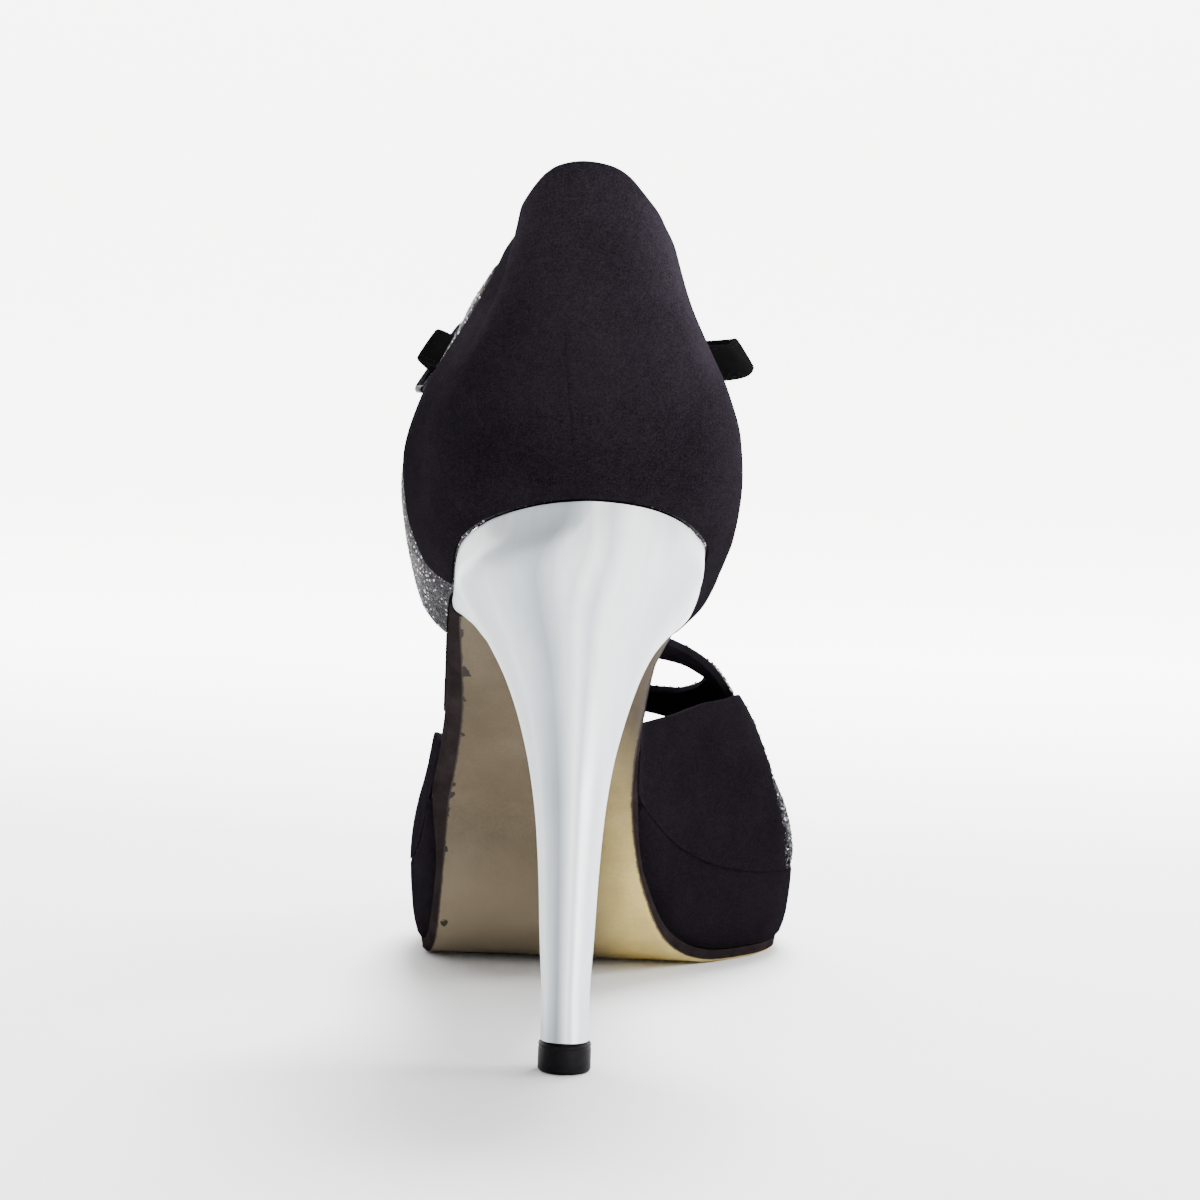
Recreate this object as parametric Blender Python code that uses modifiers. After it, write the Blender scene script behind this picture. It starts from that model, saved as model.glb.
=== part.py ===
# Left high-heeled ballroom sandal: platform sole, flared stiletto heel, closed counter,
# open waist, two-band vamp with an open toe, and an ankle strap with a buckle.
# Metres. +Y runs to the toe, +X to the inner (medial) side, +Z up.
# The origin is on the floor, at the middle of the heel tip's underside.
import math

import bmesh
import bpy
from mathutils import Vector

# Lengths and heights of the last
SHOE_LENGTH = 0.218
SEAT_OVERHANG = 0.012
BALL_WIDTH = 0.084
HEEL_HEIGHT = 0.1053
FOREPART_HEIGHT = 0.0196
TOE_SPRING = 0.0075
SOLE_SPRING = 0.0102
COUNTER_HEIGHT = 0.061
INSTEP_HEIGHT = 0.050

# Thicknesses and clearances
UPPER_WALL = 0.0016
OVERLAY_WALL = 0.0007
INSOLE_THICKNESS = 0.004
SOLE_THICKNESS = 0.0027
SEAT_GAP = 0.0003
INSOLE_GAP = 0.0008
STRAP_GAP = 0.0011

# Heel column and tip
SEAT_RIM_INSET = 0.0006
TIP_PROUD = 0.0004
TIP_HEIGHT = 0.0055
TIP_BEVEL = 0.0006

# Ankle strap and buckle
STRAP_WIDTH = 0.0075
STRAP_THICKNESS = 0.0016
STRAP_HEIGHT = 0.1304
ANKLE_WIDTH = 0.744 * BALL_WIDTH
STRAP_LEAN = math.radians(36)
BUCKLE_LEAN = math.radians(34)
BUCKLE_ACROSS = 0.0170
BUCKLE_ALONG = 0.0125
BUCKLE_WIRE = 0.0008
PRONG_WIRE = 0.0006
PRONG_SLOT = 0.002

HALF_BALL = BALL_WIDTH / 2
OVERLAY_STEP = OVERLAY_WALL + SEAT_GAP

# Places along the foot, as shares of the length: the front of the heel's seat, the quarter's
# front edge, where the insole comes out to the feather line at the waist and at the toe, and
# the strap's furthest reach
HEEL_BREAST = 0.2155
QUARTER_FRONT = 0.262
WAIST_START = (0.264, 0.276)
WAIST_END = (0.355, 0.380)
TOE_START = (0.860, 0.888)
STRAP_FRONT = 0.509

# How far the top of the quarter's back leans to the outer side, as a share of half the ball
BACK_SWAY = 0.086

# Rows and columns of the quarter's grid, and the vamp's grid lines, in degrees, with the
# side panels' upper edges
WALL_ROWS = 10
COUNTER_COLUMNS = 28
FRONT_COLUMNS = 4
PANEL_TOP_MEDIAL = 42.5
PANEL_TOP_LATERAL = 149.5
PANEL_STEPS = 7
VAMP_TURNS = [0, 7, 14, 21, 27, 32, 36, 39.5, PANEL_TOP_MEDIAL, 45, 48, 52, 57, 64, 72, 81, 90,
              100, 110, 119, 127, 134, 140, 145, PANEL_TOP_LATERAL, 152, 155, 158, 162, 166, 171,
              175, 180]


def place_scene():
    for item in list(bpy.data.objects):
        bpy.data.objects.remove(item, do_unlink=True)
    folders = {}
    for name in ("dance_shoe", "cutters"):
        folders[name] = bpy.data.collections.new(name)
        bpy.context.scene.collection.children.link(folders[name])
    return folders


def smooth_step(low, high, value):
    share = min(1.0, max(0.0, (value - low) / (high - low)))
    return share * share * (3 - 2 * share)


def mix(first, second, share):
    return first + (second - first) * share


class Table:
    # Rows of numbers under named columns, read by a curve that never overshoots its rows.
    def __init__(self, columns, rows, end_round=False):
        self.names = columns.split()
        self.end_round = end_round
        self.keys = [self.key(row[0]) for row in rows]
        self.values = {}
        for place, name in enumerate(self.names[1:], start=1):
            self.values[name] = [row[place] for row in rows]

    def key(self, value):
        if not self.end_round:
            return value
        inside = min(1.0, max(-1.0, 1 - 2 * value))
        return math.acos(inside) / math.pi

    def slope(self, values, row):
        keys = self.keys
        if row == 0 or row == len(keys) - 1:
            near = 1 if row == 0 else row
            return (values[near] - values[near - 1]) / (keys[near] - keys[near - 1])
        before = (values[row] - values[row - 1]) / (keys[row] - keys[row - 1])
        after = (values[row + 1] - values[row]) / (keys[row + 1] - keys[row])
        if before * after <= 0:
            return 0.0
        return 2 * before * after / (before + after)

    def read(self, name, value):
        keys = self.keys
        values = self.values[name]
        key = min(keys[-1], max(keys[0], self.key(value)))
        row = 0
        while row < len(keys) - 2 and key > keys[row + 1]:
            row += 1
        width = keys[row + 1] - keys[row]
        share = (key - keys[row]) / width
        start = self.slope(values, row) * width
        end = self.slope(values, row + 1) * width
        cube = share ** 3
        square = share ** 2
        return (values[row] * (2 * cube - 3 * square + 1) + start * (cube - 2 * square + share)
                + values[row + 1] * (3 * square - 2 * cube) + end * (cube - square))


# Feather line, where the upper meets the sole: share of the length, then shares of half
# the ball width on the inner and the outer side.
FEATHER = Table("along medial lateral", [
    (0.000, 0.065, 0.065), (0.018, 0.352, -0.226), (0.055, 0.490, -0.432),
    (0.101, 0.552, -0.550), (0.147, 0.535, -0.595), (0.193, 0.490, -0.620),
    (0.216, 0.455, -0.638), (0.239, 0.410, -0.655), (0.257, 0.372, -0.665),
    (0.284, 0.322, -0.679), (0.349, 0.264, -0.712), (0.399, 0.238, -0.757),
    (0.445, 0.231, -0.810), (0.491, 0.333, -0.862), (0.537, 0.476, -0.912),
    (0.583, 0.655, -0.960), (0.628, 0.838, -0.995), (0.674, 0.980, -0.995),
    (0.720, 1.024, -0.976), (0.766, 0.996, -0.910), (0.835, 0.900, -0.765),
    (0.904, 0.742, -0.575), (0.950, 0.605, -0.400), (0.986, 0.410, -0.140),
    (1.000, 0.160, 0.160)], end_round=True)

# Bed of the foot: share of the rise from forepart to seat, and of the toe spring.
BED = Table("along arch spring", [
    (0.000, 1.000, 0.00), (0.055, 0.942, 0.00), (0.147, 0.839, 0.00), (0.216, 0.746, 0.00),
    (0.284, 0.617, 0.00), (0.353, 0.471, 0.00), (0.399, 0.366, 0.00), (0.445, 0.261, 0.00),
    (0.491, 0.162, 0.00), (0.537, 0.086, 0.00), (0.583, 0.037, 0.00), (0.628, 0.012, 0.00),
    (0.674, 0.002, 0.00), (0.743, 0.000, 0.00), (0.835, 0.000, 0.12), (0.927, 0.000, 0.45),
    (1.000, 0.000, 0.90)])

# Underside of the sole: how far it has dropped from the shank to the floor, its lift at
# the toe as a share of the sole spring, how far its edge lies inside the feather line, as
# shares of half the ball width, and the share of that inset left at the sole's top edge.
TREAD = Table("along depth lift inset_medial inset_lateral welt", [
    (0.200, 0.000, 0.00, 0.060, 0.045, 0.10), (0.330, 0.000, 0.00, 0.040, 0.085, 0.10),
    (0.445, 0.000, 0.00, 0.090, 0.090, 0.10), (0.491, 0.350, 0.00, 0.097, 0.095, 0.72),
    (0.537, 0.690, 0.00, 0.140, 0.105, 0.72), (0.560, 0.810, 0.00, 0.170, 0.110, 0.72),
    (0.585, 0.920, 0.00, 0.190, 0.108, 0.72), (0.610, 0.985, 0.00, 0.185, 0.100, 0.72),
    (0.638, 1.000, 0.00, 0.170, 0.095, 0.72), (0.743, 1.000, 0.00, 0.100, 0.090, 0.72),
    (0.812, 1.000, 0.10, 0.090, 0.090, 0.72), (0.881, 1.000, 0.33, 0.090, 0.090, 0.72),
    (0.950, 1.000, 0.65, 0.090, 0.090, 0.72), (1.000, 1.000, 1.00, 0.060, 0.060, 0.72)])

# Side walls of the quarter: share of the counter height, then how far the wall stands
# outside the feather line, as shares of half the ball width.
WALL = Table("height back medial lateral medial_front lateral_front", [
    (0.000, 0.000, 0.000, 0.000, 0.000, 0.000), (0.035, 0.030, 0.060, 0.050, 0.078, 0.060),
    (0.100, 0.062, 0.126, 0.108, 0.160, 0.122), (0.213, 0.095, 0.142, 0.133, 0.232, 0.172),
    (0.328, 0.102, 0.130, 0.136, 0.256, 0.208), (0.459, 0.086, 0.074, 0.088, 0.260, 0.230),
    (0.590, 0.052, -0.018, -0.006, 0.218, 0.186), (0.721, 0.005, -0.106, -0.106, 0.152, 0.086),
    (0.852, -0.052, -0.168, -0.162, 0.092, -0.018), (0.984, -0.110, -0.222, -0.210, 0.018, -0.098)])

# Top line of the quarter: share of the length, height above the seat as a share of the
# counter height.
TOPLINE = Table("along rise", [
    (0.000, 0.988), (0.005, 0.974), (0.010, 0.954), (0.016, 0.927), (0.022, 0.901),
    (0.028, 0.879), (0.041, 0.846), (0.055, 0.815), (0.078, 0.764), (0.092, 0.728),
    (0.110, 0.683), (0.147, 0.607), (0.193, 0.544), (0.232, 0.502), (0.250, 0.462),
    (0.262, 0.380)])

# Front edge of the suede counter: share of the wall's height, then shares of the length.
COUNTER_EDGE = Table("height medial lateral", [
    (0.00, 0.252, 0.190), (0.12, 0.252, 0.207), (0.35, 0.248, 0.230),
    (0.60, 0.230, 0.218), (0.82, 0.168, 0.152), (1.00, 0.105, 0.090)])

# Ridge of the vamp: height above the bed as a share of the instep height, and the
# squareness of the section on its inner and its outer side.
RIDGE = Table("along rise medial lateral", [
    (0.399, 0.920, 5.2, 2.0), (0.491, 1.020, 5.8, 2.0), (0.550, 1.000, 6.5, 2.0),
    (0.596, 0.950, 6.0, 2.0), (0.628, 0.905, 4.4, 2.0), (0.674, 0.826, 2.4, 2.1),
    (0.720, 0.738, 2.1, 2.1), (0.766, 0.650, 2.1, 2.1), (0.835, 0.530, 2.1, 2.1)])

# Edges of the vamp around the foot, by the angle from the inner side (0) over the ridge
# (90) to the outer side (180) degrees: shares of the length. The panel's front edge lies
# between the rear and the front edge of the vamp.
VAMP_EDGE = Table("turn rear front panel", [
    (0, 0.395, 0.826, 0.702), (15, 0.445, 0.815, 0.684), (32, 0.540, 0.800, 0.652),
    (40, 0.600, 0.782, 0.634), (44, 0.620, 0.775, 0.632), (48, 0.598, 0.768, 0.632),
    (57, 0.572, 0.758, 0.632), (66, 0.558, 0.750, 0.632), (90, 0.550, 0.743, 0.632),
    (124, 0.558, 0.755, 0.640), (136, 0.572, 0.768, 0.640), (144, 0.596, 0.780, 0.640),
    (148, 0.614, 0.788, 0.640), (151, 0.598, 0.795, 0.644), (157, 0.532, 0.808, 0.664),
    (168, 0.442, 0.824, 0.698), (180, 0.390, 0.835, 0.716)])

# Heel from its foot to its seat: heights at back and breast as shares of the column's
# height, reach to the back and to the breast and half width as shares of half the ball
# width, how flat the breast is, how far the section has turned into the seat's outline,
# and how far it is set to the inner side, as a share of half the ball width.
HEEL = Table("step back_height breast_height back breast half_width flat seat shift", [
    (0, 0.000, 0.000, -0.119, 0.119, 0.107, 0.45, 0.0, 0.000),
    (1, 0.077, 0.077, -0.112, 0.126, 0.106, 0.45, 0.0, -0.004),
    (2, 0.188, 0.183, -0.100, 0.150, 0.119, 0.45, 0.0, -0.006),
    (3, 0.299, 0.289, -0.088, 0.188, 0.131, 0.48, 0.0, -0.008),
    (4, 0.411, 0.390, -0.076, 0.226, 0.150, 0.50, 0.0, -0.011),
    (5, 0.512, 0.481, -0.064, 0.290, 0.183, 0.55, 0.0, -0.016),
    (6, 0.603, 0.557, -0.071, 0.369, 0.231, 0.60, 0.0, -0.020),
    (7, 0.684, 0.623, -0.102, 0.460, 0.290, 0.66, 0.0, -0.026),
    (8, 0.764, 0.678, -0.157, 0.557, 0.364, 0.74, 0.0, -0.036),
    (9, 0.845, 0.724, -0.214, 0.667, 0.452, 0.82, 0.1, -0.046),
    (10, 0.911, 0.752, -0.257, 0.757, 0.520, 0.90, 0.4, -0.046),
    (11, 0.962, 0.766, -0.281, 0.810, 0.552, 0.96, 0.8, -0.030),
    (12, 1.000, 0.780, -0.286, 0.833, 0.566, 1.00, 1.0, -0.020)])


def at(share):
    return share * SHOE_LENGTH - SEAT_OVERHANG


def share_of(y):
    return (y + SEAT_OVERHANG) / SHOE_LENGTH


def bed(y):
    along = share_of(y)
    rise = BED.read("arch", along) * (HEEL_HEIGHT - FOREPART_HEIGHT)
    return FOREPART_HEIGHT + rise + BED.read("spring", along) * TOE_SPRING


def feather(y, side):
    return FEATHER.read(side, share_of(y)) * HALF_BALL


def tread(y):
    along = share_of(y)
    shank = bed(y) - SEAT_GAP - SOLE_THICKNESS
    forepart = SOLE_SPRING * TREAD.read("lift", along)
    return mix(shank, forepart, TREAD.read("depth", along))


def new_piece(name, folder, rows, closed, look):
    # Skins a grid of rings: each row is a ring of points, and both ends are closed with
    # rungs between the ring's two sides, so that a cap follows the surface beneath it.
    # The two halves of a ring split their faces the same way, so that walls nest.
    mesh = bpy.data.meshes.new(name)
    piece = bpy.data.objects.new(name, mesh)
    form = bmesh.new()
    rings = [[form.verts.new(point) for point in row] for row in rows]
    count = len(rows[0])
    steps = count if closed else count - 1
    for first, second in zip(rings, rings[1:]):
        for place in range(steps):
            after = (place + 1) % count
            corners = [first[place], first[after], second[after], second[place]]
            if place >= count // 2:
                corners = corners[1:] + corners[:1]
            form.faces.new(corners[:3])
            form.faces.new([corners[0], corners[2], corners[3]])
    for ring, turned in ((rings[0], True), (rings[-1], False)):
        low, high = 0, count - 1
        while high - low > 1:
            corners = [ring[low], ring[low + 1], ring[high - 1], ring[high]]
            if high - low == 2:
                corners = [ring[low], ring[low + 1], ring[high]]
            form.faces.new(corners if not turned else corners[::-1])
            low, high = low + 1, high - 1
    bmesh.ops.remove_doubles(form, verts=form.verts, dist=1e-6)
    bmesh.ops.recalc_face_normals(form, faces=form.faces)
    form.to_mesh(mesh)
    form.free()
    folder.objects.link(piece)
    finish(piece, look)
    return piece


def paint(piece, look):
    colour, roughness, metallic = look
    material = bpy.data.materials.new(piece.name)
    material.use_nodes = True
    shader = material.node_tree.nodes["Principled BSDF"]
    shader.inputs["Base Color"].default_value = (*colour, 1)
    shader.inputs["Roughness"].default_value = roughness
    shader.inputs["Metallic"].default_value = metallic
    piece.data.materials.clear()
    piece.data.materials.append(material)


def finish(piece, look, sharp=math.radians(40)):
    paint(piece, look)
    piece.data.shade_smooth()
    piece.data.set_sharp_from_angle(angle=sharp)


def wall_ring(outer, inner):
    # One slice of a thin wall: down its outer side and back up its inner side.
    return outer + inner[::-1]


def stations(first, last, marks=()):
    # Places along the foot that every plate shares, closer together at heel and toe, with
    # the marks, where an edge turns a corner.
    count = 46
    least = 0.002 * SHOE_LENGTH
    places = [first, *marks]
    for step in range(count + 1):
        y = at(0.0140 + 0.9845 * (1 - math.cos(math.pi * step / count)) / 2)
        near = min([abs(y - mark) for mark in marks], default=SHOE_LENGTH)
        if first + least < y < last - least and near > 2 * least:
            places.append(y)
    return sorted(places) + [last]


def plate(name, folder, places, section, look):
    rows = [[Vector((x, y, z)) for x, z in section(y)] for y in places]
    return new_piece(name, folder, rows, True, look)


def insole_inset(y, side):
    # Inside the walls the insole is narrower by the wall, its overlay and a clearance,
    # measured square to the feather line. It fills the open waist and the open toe.
    along = share_of(y)
    open_waist = smooth_step(*WAIST_START, along) * (1 - smooth_step(*WAIST_END, along))
    open_toe = smooth_step(*TOE_START, along)
    step = 0.005 * SHOE_LENGTH
    slope = (feather(y + step, side) - feather(y - step, side)) / (2 * step)
    depth = (UPPER_WALL + OVERLAY_STEP + INSOLE_GAP) * min(2.0, math.hypot(1, slope))
    return depth * (1 - max(open_waist, open_toe))


def insole_section(y):
    medial = feather(y, "medial") - insole_inset(y, "medial")
    lateral = feather(y, "lateral") + insole_inset(y, "lateral")
    edge = min(0.25 * INSOLE_THICKNESS, (medial - lateral) / 4)
    low = bed(y)
    high = low + INSOLE_THICKNESS
    return [(medial, low), (medial, high - edge), (medial - edge, high),
            (lateral + edge, high), (lateral, high - edge), (lateral, low)]


def sole_edge(y, side, share):
    # Plan of the sole's edge, from the feather line (0) to the tread's edge (1).
    sign = 1 if side == "medial" else -1
    inset = TREAD.read("inset_" + side, share_of(y)) * HALF_BALL
    reach = feather(y, "medial") - feather(y, "lateral")
    return feather(y, side) - sign * min(inset * share, reach / 3)


def outsole_section(y):
    low = tread(y)
    high = low + SOLE_THICKNESS
    bevel = SOLE_THICKNESS / 4
    welt = TREAD.read("welt", share_of(y))
    middle = mix(welt, 1, 0.3)
    return [(sole_edge(y, "medial", welt), high), (sole_edge(y, "medial", middle), low + bevel),
            (sole_edge(y, "medial", 1.0), low), (sole_edge(y, "lateral", 1.0), low),
            (sole_edge(y, "lateral", middle), low + bevel), (sole_edge(y, "lateral", welt), high)]


def platform_section(y):
    high = bed(y) - SEAT_GAP
    low = tread(y) + SOLE_THICKNESS + SEAT_GAP
    rim = [(0.03, 1.0), (0.13, 0.55), (0.33, 0.22), (0.70, 0.0)]
    right = [(sole_edge(y, "medial", inset), mix(low, high, share)) for inset, share in rim]
    left = [(sole_edge(y, "lateral", inset), mix(low, high, share)) for inset, share in rim]
    return right + left[::-1]


def heel_ring(step):
    side_points = 11
    seat = HEEL.read("seat", step)
    front = mix(HEEL.read("breast", step) * HALF_BALL, at(HEEL_BREAST), seat)
    back = mix(HEEL.read("back", step) * HALF_BALL, at(0), seat)
    half_width = HEEL.read("half_width", step) * HALF_BALL
    shift = HEEL.read("shift", step) * HALF_BALL
    flat = HEEL.read("flat", step)
    right, left = [], []
    for place in range(side_points):
        run = 1 - math.cos(math.pi / 2 * place / (side_points - 1))
        y = mix(back, front, run)
        oval = max(0.0, 1 - abs(2 * run - 1) ** 2.3) ** (1 / 2.3)
        blunt = min(1.0, math.sqrt(max(0.0, 1 - (1 - run) ** 2.6)))
        shape = oval if run < 0.5 else mix(oval, max(oval, blunt), flat)
        height = mix(HEEL.read("back_height", step), HEEL.read("breast_height", step), run)
        z = mix(TIP_HEIGHT + SEAT_GAP, HEEL_HEIGHT - SEAT_GAP, height)
        if seat >= 1:
            z = bed(y) - SEAT_GAP
        inset = min(SEAT_RIM_INSET, (feather(y, "medial") - feather(y, "lateral")) / 2)
        for points, side, sign in ((right, "medial", 1), (left, "lateral", -1)):
            rim = feather(y, side) - sign * inset
            points.append(Vector((mix(shift + sign * half_width * shape, rim, seat), y, z)))
    return right + left[::-1]


def build_heel(folder, look):
    rows = [heel_ring(step / 2) for step in range(0, 25)]
    return new_piece("heel", folder, rows, True, look)


def build_tip(folder, look):
    bpy.ops.mesh.primitive_cylinder_add(vertices=28, radius=0.5, depth=1,
                                        location=(0, 0, TIP_HEIGHT / 2))
    tip = bpy.context.object
    tip.name = "heel_tip"
    width = 2 * HEEL.read("half_width", 0) * HALF_BALL
    length = (HEEL.read("breast", 0) - HEEL.read("back", 0)) * HALF_BALL
    tip.scale = (width + 2 * TIP_PROUD, length + 2 * TIP_PROUD, TIP_HEIGHT)
    bpy.ops.object.transform_apply(location=False, rotation=False, scale=True)
    edge = tip.modifiers.new("edge", "BEVEL")
    edge.width = TIP_BEVEL
    edge.segments = 2
    edge.limit_method = "ANGLE"
    for owner in list(tip.users_collection):
        owner.objects.unlink(tip)
    folder.objects.link(tip)
    finish(tip, look)
    return tip


def round_y(turn):
    # Place along the foot of a turn round the heel: 0 at the back, 1 at the quarter's front.
    return mix(-SEAT_OVERHANG, at(QUARTER_FRONT), 1 - math.cos(math.pi / 2 * abs(turn)))


def turn_at(along):
    run = (at(along) + SEAT_OVERHANG) / (at(QUARTER_FRONT) + SEAT_OVERHANG)
    return math.acos(max(-1.0, 1 - run)) / (math.pi / 2)


def plan_point(turn):
    y = round_y(turn)
    return Vector((feather(y, "medial" if turn < 0 else "lateral"), y))


def quarter_point(turn, height_share, out):
    # A point of the quarter: turn runs from -1 (inner front) over 0 (back) to 1 (outer
    # front), and out is how far it lies outside the shoe's own skin.
    here = plan_point(turn)
    y = here.y
    ahead = plan_point(min(1.0, turn + 0.02))
    behind = plan_point(max(-1.0, turn - 0.02))
    run = ahead - behind
    normal = Vector((-run.y, run.x)).normalized()
    side = "medial" if turn < 0 else "lateral"
    normal.y *= 1 - smooth_step(at(0.101), at(0.193), y)
    normal.normalize()
    rise = TOPLINE.read("rise", share_of(y)) * COUNTER_HEIGHT + HEEL_HEIGHT - bed(y)
    height = rise * height_share
    level = height / COUNTER_HEIGHT
    to_side = smooth_step(at(0.0), at(0.074), y)
    spread = mix(WALL.read("back", level), WALL.read(side, level), to_side)
    if turn < 0:
        to_front = min(1.0, max(0.0, (share_of(y) - 0.147) / 0.110)) ** 2
        spread = mix(spread, WALL.read("medial_front", level), to_front)
    else:
        to_front = smooth_step(0.060, 0.230, share_of(y))
        spread = mix(spread, WALL.read("lateral_front", level), to_front)
    offset = spread * HALF_BALL + out
    sway = BACK_SWAY * level * (1 - to_side) * HALF_BALL
    return Vector((here.x - sway + normal.x * offset, y + normal.y * offset, bed(y) + height))


def under_counter(turn, height_share):
    # The quarter's skin steps down where the counter lies on it.
    side = "medial" if turn < 0 else "lateral"
    edge = COUNTER_EDGE.read(side, height_share)
    return -OVERLAY_STEP * (1 - smooth_step(edge + 0.005, edge + 0.022, share_of(round_y(turn))))


def counter_turn(sweep, height_share):
    # Turn of the counter's grid lines, which fan out from the back to its front edges.
    side = "medial" if sweep < 0 else "lateral"
    return sweep * turn_at(COUNTER_EDGE.read(side, height_share))


def build_quarter(folder, look):
    # The quarter shares the counter's grid lines behind the counter's edges.
    heights = [row / WALL_ROWS for row in range(WALL_ROWS + 1)]
    sweeps = [-1 + 2 * column / COUNTER_COLUMNS for column in range(COUNTER_COLUMNS + 1)]
    lines = [(-1, 1 - column / FRONT_COLUMNS) for column in range(FRONT_COLUMNS)]
    lines += [(sweep, 0) for sweep in sweeps]
    lines += [(1, (column + 1) / FRONT_COLUMNS) for column in range(FRONT_COLUMNS)]
    rows = []
    for sweep, forward in lines:
        turns = [mix(counter_turn(sweep, share), sweep, forward) for share in heights]
        outer = [quarter_point(turn, share, under_counter(turn, share))
                 for turn, share in zip(turns, heights)]
        inner = [quarter_point(turn, share, -OVERLAY_STEP - UPPER_WALL)
                 for turn, share in zip(turns, heights)]
        rows.append(wall_ring(outer, inner))
    return new_piece("quarter", folder, rows, True, look)


def build_counter(folder, look):
    heights = [row / WALL_ROWS for row in range(WALL_ROWS + 1)]
    rows = []
    for column in range(COUNTER_COLUMNS + 1):
        sweep = -1 + 2 * column / COUNTER_COLUMNS
        turns = [counter_turn(sweep, share) for share in heights]
        outer = [quarter_point(turn, share, 0) for turn, share in zip(turns, heights)]
        inner = [quarter_point(turn, share, -OVERLAY_WALL) for turn, share in zip(turns, heights)]
        rows.append(wall_ring(outer, inner))
    return new_piece("counter", folder, rows, True, look)


def vamp_point(y, turn, out):
    # A point of the vamp: turn is the angle over the foot, 0 at the inner side.
    angle = math.radians(turn)
    along = share_of(y)
    medial = feather(y, "medial") + out
    lateral = feather(y, "lateral") - out
    middle = (medial + lateral) / 2
    half = (medial - lateral) / 2
    rise = RIDGE.read("rise", along) * INSTEP_HEIGHT + out * 1.15
    square = RIDGE.read("medial" if turn < 90 else "lateral", along)
    reach = (abs(math.cos(angle)) ** square + abs(math.sin(angle)) ** square) ** (-1 / square)
    return Vector((middle + half * reach * math.cos(angle), y,
                   bed(y) + rise * reach * max(0.0, math.sin(angle))))


def under_panel(y, turn):
    # The vamp's skin steps down where a side panel lies on it.
    edge = VAMP_EDGE.read("panel", turn)
    behind = 1 - smooth_step(edge + 0.002, edge + 0.030, share_of(y))
    if turn < 90:
        low = 1 - smooth_step(PANEL_TOP_MEDIAL + 1, PANEL_TOP_MEDIAL + 8, turn)
    else:
        low = smooth_step(PANEL_TOP_LATERAL - 8, PANEL_TOP_LATERAL - 1, turn)
    return -OVERLAY_STEP * behind * low


def vamp_stations(turn):
    # Places from the rear edge to the panel's front edge, which the panel shares, and on
    # to the vamp's front edge.
    rear, panel, front = (at(VAMP_EDGE.read(name, turn)) for name in ("rear", "panel", "front"))
    places = [mix(rear, panel, step / PANEL_STEPS) for step in range(PANEL_STEPS + 1)]
    return places + [mix(panel, front, step / 5) for step in range(1, 6)]


def build_vamp(folder, cutters, look):
    rows = []
    for turn in VAMP_TURNS:
        places = vamp_stations(turn)
        outer = [vamp_point(y, turn, under_panel(y, turn)) for y in places]
        inner = [vamp_point(y, turn, -OVERLAY_STEP - UPPER_WALL) for y in places]
        rows.append(wall_ring(outer, inner))
    vamp = new_piece("vamp", folder, rows, True, look)
    cut = vamp.modifiers.new("window", "BOOLEAN")
    cut.operation = "DIFFERENCE"
    cut.solver = "EXACT"
    cut.object = build_window(cutters)
    return vamp


# Window between the two bands, in plan: shares of half the ball width and of the length.
WINDOW = {"medial": (0.52, 0.630), "lateral": (-0.60, 0.640), "rear": 0.598, "front": 0.690}


def build_window(cutters):
    steps = 14
    outline = []
    for edge, ends in (("rear", ("medial", "lateral")), ("front", ("lateral", "medial"))):
        (x_start, start), (x_end, end) = WINDOW[ends[0]], WINDOW[ends[1]]
        for step in range(steps):
            share = step / steps
            chord = mix(start, end, share)
            bow = WINDOW[edge] - mix(start, end, 0.5)
            outline.append((mix(x_start, x_end, share) * HALF_BALL,
                            at(chord + bow * math.sin(math.pi * share) ** 0.8)))
    low = FOREPART_HEIGHT + 0.5 * INSTEP_HEIGHT
    high = HEEL_HEIGHT
    mesh = bpy.data.meshes.new("vamp_window")
    form = bmesh.new()
    face = form.faces.new([form.verts.new((x, y, low)) for x, y in outline])
    grown = bmesh.ops.extrude_face_region(form, geom=[face])
    lifted = [item for item in grown["geom"] if isinstance(item, bmesh.types.BMVert)]
    bmesh.ops.translate(form, verts=lifted, vec=(0, 0, high - low))
    bmesh.ops.recalc_face_normals(form, faces=form.faces)
    form.to_mesh(mesh)
    form.free()
    cutter = bpy.data.objects.new("vamp_window", mesh)
    cutter.hide_render = True
    cutter.display_type = "WIRE"
    cutters.objects.link(cutter)
    return cutter


def build_panel(name, folder, first, last, look):
    rows = []
    for turn in VAMP_TURNS:
        if first <= turn <= last:
            places = vamp_stations(turn)[:PANEL_STEPS + 1]
            outer = [vamp_point(y, turn, 0) for y in places]
            inner = [vamp_point(y, turn, -OVERLAY_WALL) for y in places]
            rows.append(wall_ring(outer, inner))
    return new_piece(name, folder, rows, True, look)


def ribbon(name, folder, path, width, thickness, look):
    # A flat strap along a path of (centre, direction across it).
    rows = []
    for place, (centre, across) in enumerate(path):
        before = path[max(0, place - 1)][0]
        after = path[min(len(path) - 1, place + 1)][0]
        along = (after - before).normalized()
        across = (across - along * across.dot(along)).normalized()
        out = along.cross(across)
        rows.append([centre + across * (width / 2 * u) + out * (thickness / 2 * v)
                     for u, v in ((-1, 1), (1, 1), (1, -1), (-1, -1))])
    return new_piece(name, folder, rows, True, look)


def curve_through(stops, count):
    # Even, smooth steps through a few chosen stops of (centre, direction across).
    path = []
    spans = len(stops) - 1
    for step in range(count + 1):
        place = min(spans - 1e-9, step / count * spans)
        row = int(place)
        share = place - row
        picks = [max(0, row - 1), row, row + 1, min(spans, row + 2)]
        made = []
        for part in (0, 1):
            p0, p1, p2, p3 = (stops[pick][part] for pick in picks)
            made.append(0.5 * (2 * p1 + (p2 - p0) * share + (2 * p0 - 5 * p1 + 4 * p2 - p3) * share ** 2
                               + (3 * p1 - p0 - 3 * p2 + p3) * share ** 3))
        path.append((made[0], made[1].normalized()))
    return path


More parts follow.
